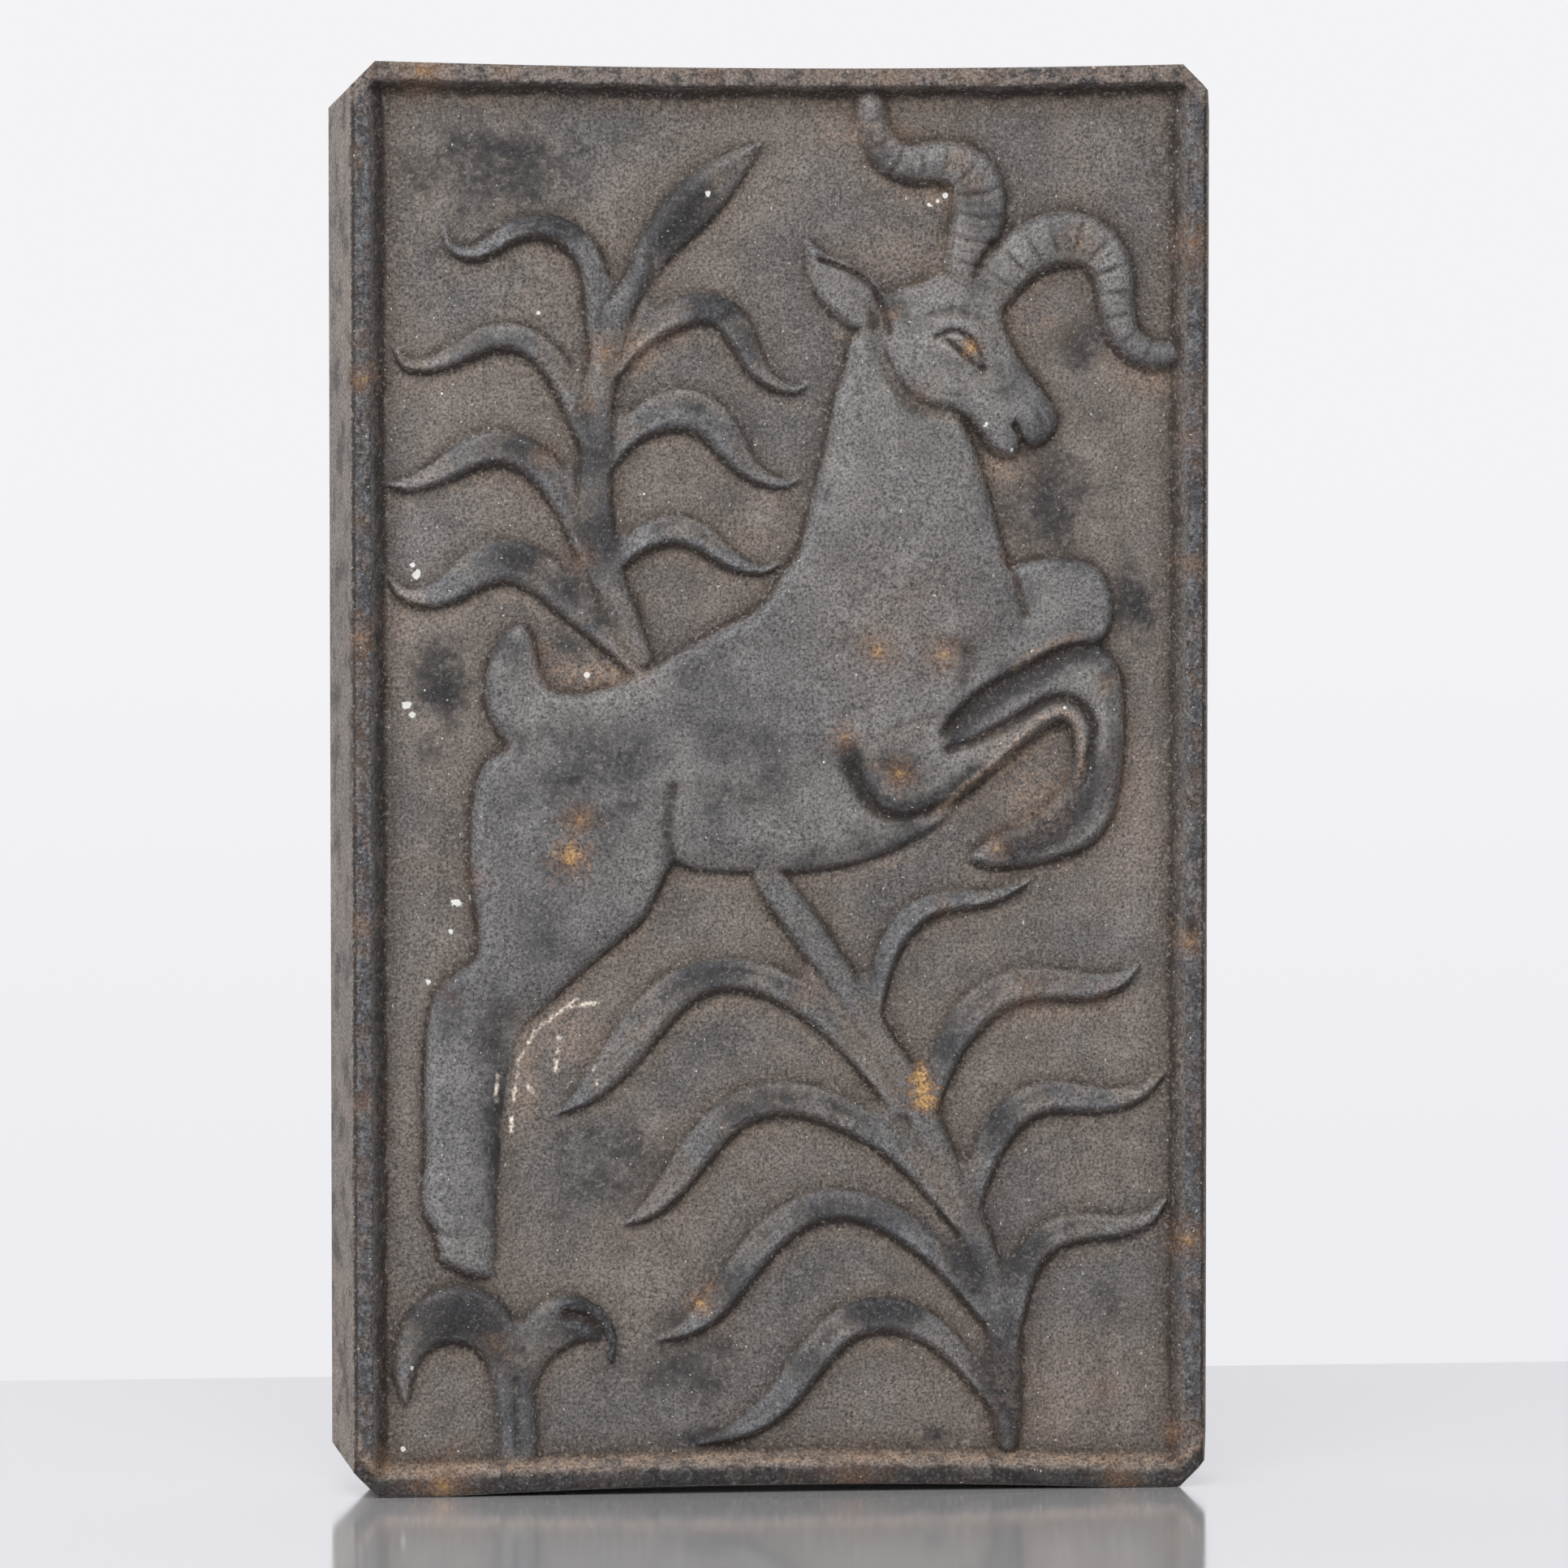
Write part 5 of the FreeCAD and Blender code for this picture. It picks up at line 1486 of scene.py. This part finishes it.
def eased_copy(node, name, width):
    """A merged copy of a CAD node with eased edges."""
    whole = bmesh.new()
    whole.from_mesh(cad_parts[node].data)
    bmesh.ops.remove_doubles(whole, verts=whole.verts, dist=0.01 * mm)
    bmesh.ops.dissolve_limit(whole, angle_limit=math.radians(2), verts=whole.verts, edges=whole.edges)
    mesh = bpy.data.meshes.new(name)
    whole.to_mesh(mesh)
    whole.free()
    mesh.materials.clear()
    carrier = placed(name + "_carrier", mesh)
    easing = carrier.modifiers.new("easing", "BEVEL")
    easing.width = width * mm
    easing.segments = 2
    easing.limit_method = "ANGLE"
    easing.angle_limit = math.radians(40)
    return as_piece(carrier, name)


bar = eased_copy("hanger_bar", "hanger_bar_strap", 0.4)
saddle = eased_copy("bail_saddle", "bail_saddle_strap", 0.3)
dress(bar, "hanger_bar", "plaque", strap_steel)
dress(saddle, "bail_saddle", "plaque", strap_steel)
print("eased", len(bar.data.polygons), "faces on the bar")

# %% [markdown]
# ## Fasteners and pads
# Bolts, washers, rivets, pads and screws come in pairs. One of each is turned from a profile, and a Geometry
# Nodes tree sets copies of it along a line. The tree's named inputs give the first place, the step and the
# count, and a slot can be cut in a screw's head. For a row of twenty only the count would change.

# %% The tree for pairs
shape_output = ("Geometry", "Geometry")


def pattern_tree():
    """A tree that repeats a piece along a line, with a slot cut across it if it has a width."""
    inputs = {"Piece": "Object", "Count": "Int", "First place": "Vector", "Step": "Vector",
              "Slot size": "Vector", "Slot place": "Vector", "Finish": "Material"}
    tree, given, result = new_group("pieces_along_a_line", "GeometryNodeTree", inputs, shape_output)
    piece = add(tree, "GeometryNodeObjectInfo", {"Object": given["Piece"]}).outputs["Geometry"]
    block = add(tree, "GeometryNodeMeshCube", {"Size": given["Slot size"]}).outputs[0]
    cutter = add(tree, "GeometryNodeTransform", {"Geometry": block, "Translation": given["Slot place"]})
    slotted = add(tree, "GeometryNodeMeshBoolean", {"Mesh 1": piece, "Mesh 2": cutter.outputs[0]},
                  operation="DIFFERENCE")
    line = add(tree, "GeometryNodeMeshLine", {"Count": given["Count"], "Start Location": given["First place"],
                                              "Offset": given["Step"]})
    copies = add(tree, "GeometryNodeInstanceOnPoints", {"Points": line.outputs[0],
                                                        "Instance": slotted.outputs[0]})
    finish_off(tree, copies.outputs[0], given["Finish"], result)
    return tree


def finish_off(tree, shape, finish, result):
    """Make a tree's copies real, give them their finish and hand them out."""
    real = add(tree, "GeometryNodeRealizeInstances", {"Geometry": shape}).outputs[0]
    finished = add(tree, "GeometryNodeSetMaterial", {"Geometry": real, "Material": finish}).outputs[0]
    feed(tree, result, finished)


def from_tree(name, tree, data, values):
    """A plain piece from a tree: inputs set by identifier, evaluated, modifier gone."""
    carrier = placed(name + "_carrier", data)
    modifier = carrier.modifiers.new("tree", "NODES")
    modifier.node_group = tree
    for item in tree.interface.items_tree:
        if item.in_out == "INPUT" and item.name in values:
            modifier[item.identifier] = values[item.name]
    return as_piece(carrier, name)


line_tree = pattern_tree()


def pair_of(name, shape, first, step, finish, slot_size=(0, 0, 0), slot_place=(0, 0, 0)):
    """Two copies of a turned shape, a step apart."""
    mesh = bpy.data.meshes.new(name + "_one")
    join_into(mesh, shape)
    one = bpy.data.objects.new(name + "_one", mesh)
    pair = from_tree(name, line_tree, bpy.data.meshes.new(name + "_seed"), {
        "Piece": one, "Count": 2, "First place": Vector(first) * mm, "Step": Vector(step) * mm,
        "Slot size": Vector(slot_size) * mm, "Slot place": Vector(slot_place) * mm, "Finish": finish})
    bpy.data.objects.remove(one)
    return pair


# %% Bolts and washers
washer_hole = 3.2
head_flats = 10.0
head_height = 4.0
bolt_radius = 3.0
collar_radius = 4.7
bar_back = bar_high.y / mm
washer_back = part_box("hanger_washers")[1].y / mm
washer_thickness = washer_back - bar_back
hexagon_reach = head_flats / 2 / math.cos(math.pi / 6)
bolt_tip = bolt_low.y / mm

washer = turned([(washer_hole, 0.0), (washer_radius - 0.15, 0.0), (washer_radius, 0.2),
                 (washer_radius, washer_thickness - 0.25), (washer_radius - 0.25, washer_thickness),
                 (washer_hole, washer_thickness)], 0, 0, ring=True)
bolt_head = turned([(hexagon_reach, 0.35), (hexagon_reach, head_height - 0.8),
                    (hexagon_reach - 0.9, head_height)], 0, 0, sides=6)
bolt_end = bolt_tip - washer_back
bolt_shank = turned([(bolt_radius - 0.6, bolt_end), (bolt_radius, bolt_end + 0.6),
                     (bolt_radius, 0.0), (collar_radius, 0.0), (collar_radius, 0.5)], 0, 0, sides=32)
washers = pair_of("hanger_washer_pair", [washer], (-bolt_reach, bar_back, bar_level),
                  (2 * bolt_reach, 0, 0), fastener_steel)
bolts = pair_of("hanger_bolt_pair", [bolt_shank, bolt_head], (-bolt_reach, washer_back, bar_level),
                (2 * bolt_reach, 0, 0), fastener_steel)
dress(washers, "hanger_washers", "plaque", fastener_steel)
dress(bolts, "hanger_bolts", "plaque", fastener_steel)
print("bolts", len(bolts.data.polygons), "faces")

# %% Rivets
rivet_low, rivet_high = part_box("saddle_rivets")
rivet_radius = 2.0
rivet_head = 3.6
rivet_cap = 2.2
rivet_reach = (rivet_high.z - rivet_low.z) / 2 / mm - rivet_head


def dome(start, rise, sign):
    """Rows of a domed cap, from its rim to near its peak."""
    ball = (rivet_head ** 2 + rise ** 2) / (2 * rise)
    rows = []
    for step in range(7):
        radius = rivet_head * math.cos(step * math.pi / 13)
        rows.append((radius, start + sign * (math.sqrt(ball ** 2 - radius ** 2) - (ball - rise))))
    return rows


seat = rivet_low.y / mm + rivet_cap
crown = rivet_high.y / mm - rivet_cap
rivet_rows = dome(seat, rivet_cap, -1)[::-1]
rivet_rows += [(rivet_radius, seat), (rivet_radius, crown)]
rivet_rows += dome(crown, rivet_cap, 1)
rivets = pair_of("saddle_rivet_pair", [turned(rivet_rows, 0, 0, sides=32)],
                 (0, 0, bar_level - rivet_reach), (0, 0, 2 * rivet_reach), fastener_steel)
dress(rivets, "saddle_rivets", "plaque", fastener_steel)
print("rivets", round(2 * rivet_reach, 2), "mm apart")

# %% Pads and their screws
bore_radius = 4.8
bore_depth = 4.0
pad_seat = pad_low.y / mm
pad_back = pad_high.y / mm
bore_floor = pad_back - bore_depth
screw_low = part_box("pad_screws")[0].y / mm
pad = turned([(pad_radius - 0.5, pad_seat), (pad_radius, pad_seat + 0.6), (pad_radius - 0.12, pad_seat + 2.4),
              (pad_radius - 0.12, pad_seat + 5.0), (pad_radius, pad_back - 1.2),
              (pad_radius - 0.3, pad_back - 0.4), (pad_radius - 0.9, pad_back), (bore_radius + 0.5, pad_back),
              (bore_radius + 0.1, pad_back - 0.3), (bore_radius, pad_back - 0.8),
              (bore_radius, bore_floor)], 0, 0)
head_rows = [(3.6, 0.02), (3.8, 0.5), (3.7, 1.2), (3.2, 1.9), (2.2, 2.3), (0.8, 2.4)]
screw = turned([(1.4, screw_low), (2.0, screw_low + 0.8), (2.0, bore_floor - 0.05)]
               + [(radius, bore_floor + rise) for radius, rise in head_rows], 0, 0, sides=32)
pads = pair_of("wall_pad_pair", [pad], (-pad_reach, 0, pad_level), (2 * pad_reach, 0, 0), pad_rubber)
screws = pair_of("pad_screw_pair", [screw], (-pad_reach, 0, pad_level), (2 * pad_reach, 0, 0), fastener_steel,
                 (1.0, 2.2, 9.0), (0, bore_floor + 2.3, 0))
dress(pads, "wall_pads", "plaque", pad_rubber)
dress(screws, "pad_screws", "plaque", fastener_steel)
print("pads", len(pads.data.polygons), "faces")

# %% [markdown]
# ## Hanging bail
# The bail is one bent wire: a straight axle in the saddle, two rounded corners, two legs and a half-round
# bow. Its path is a curve, and a Geometry Nodes tree sweeps a round section of the wire's radius along it.

# %% Hanging bail
bail_low, bail_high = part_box("hanging_bail")
wire_radius = 2.5
bail_half = 20.5
bail_leg = 18.0
bail_bend = 6.0
axle_y = (bail_low.y + bail_high.y) / 2 / mm


def arc_points(x, z, radius, start, stop, count):
    """Points on an arc, angles in degrees."""
    angles = np.radians(np.linspace(start, stop, count))
    return [(x + radius * math.cos(a), z + radius * math.sin(a)) for a in angles]


corner_x = bail_half - bail_bend
corner_z = bar_level - bail_bend
bow_z = bar_level - bail_leg
route = arc_points(-corner_x, corner_z, bail_bend, 180, 90, 9)
route += arc_points(corner_x, corner_z, bail_bend, 90, 0, 9)
route += arc_points(0, bow_z, bail_half, 0, -180, 33)
wire_path = bpy.data.curves.new("bail_path", "CURVE")
wire_path.dimensions = "3D"
spline = wire_path.splines.new("POLY")
spline.points.add(len(route) - 1)
for point, (x, z) in zip(spline.points, route):
    point.co = (x * mm, axle_y * mm, z * mm, 1)
spline.use_cyclic_u = True


def wire_tree():
    """A tree that sweeps a round wire along a curve."""
    inputs = {"Path": "Geometry", "Wire radius": "Float", "Sides": "Int", "Finish": "Material"}
    tree, given, result = new_group("wire_along_a_path", "GeometryNodeTree", inputs, shape_output)
    section = add(tree, "GeometryNodeCurvePrimitiveCircle", {"Radius": given["Wire radius"],
                                                             "Resolution": given["Sides"]}).outputs[0]
    swept = add(tree, "GeometryNodeCurveToMesh", {"Curve": given["Path"], "Profile Curve": section})
    finish_off(tree, swept.outputs[0], given["Finish"], result)
    return tree


bail = from_tree("hanging_bail_wire", wire_tree(), wire_path,
                 {"Wire radius": wire_radius * mm, "Sides": 24, "Finish": bail_steel})
dress(bail, "hanging_bail", "bail", bail_steel)
print("bail", len(bail.data.polygons), "faces")
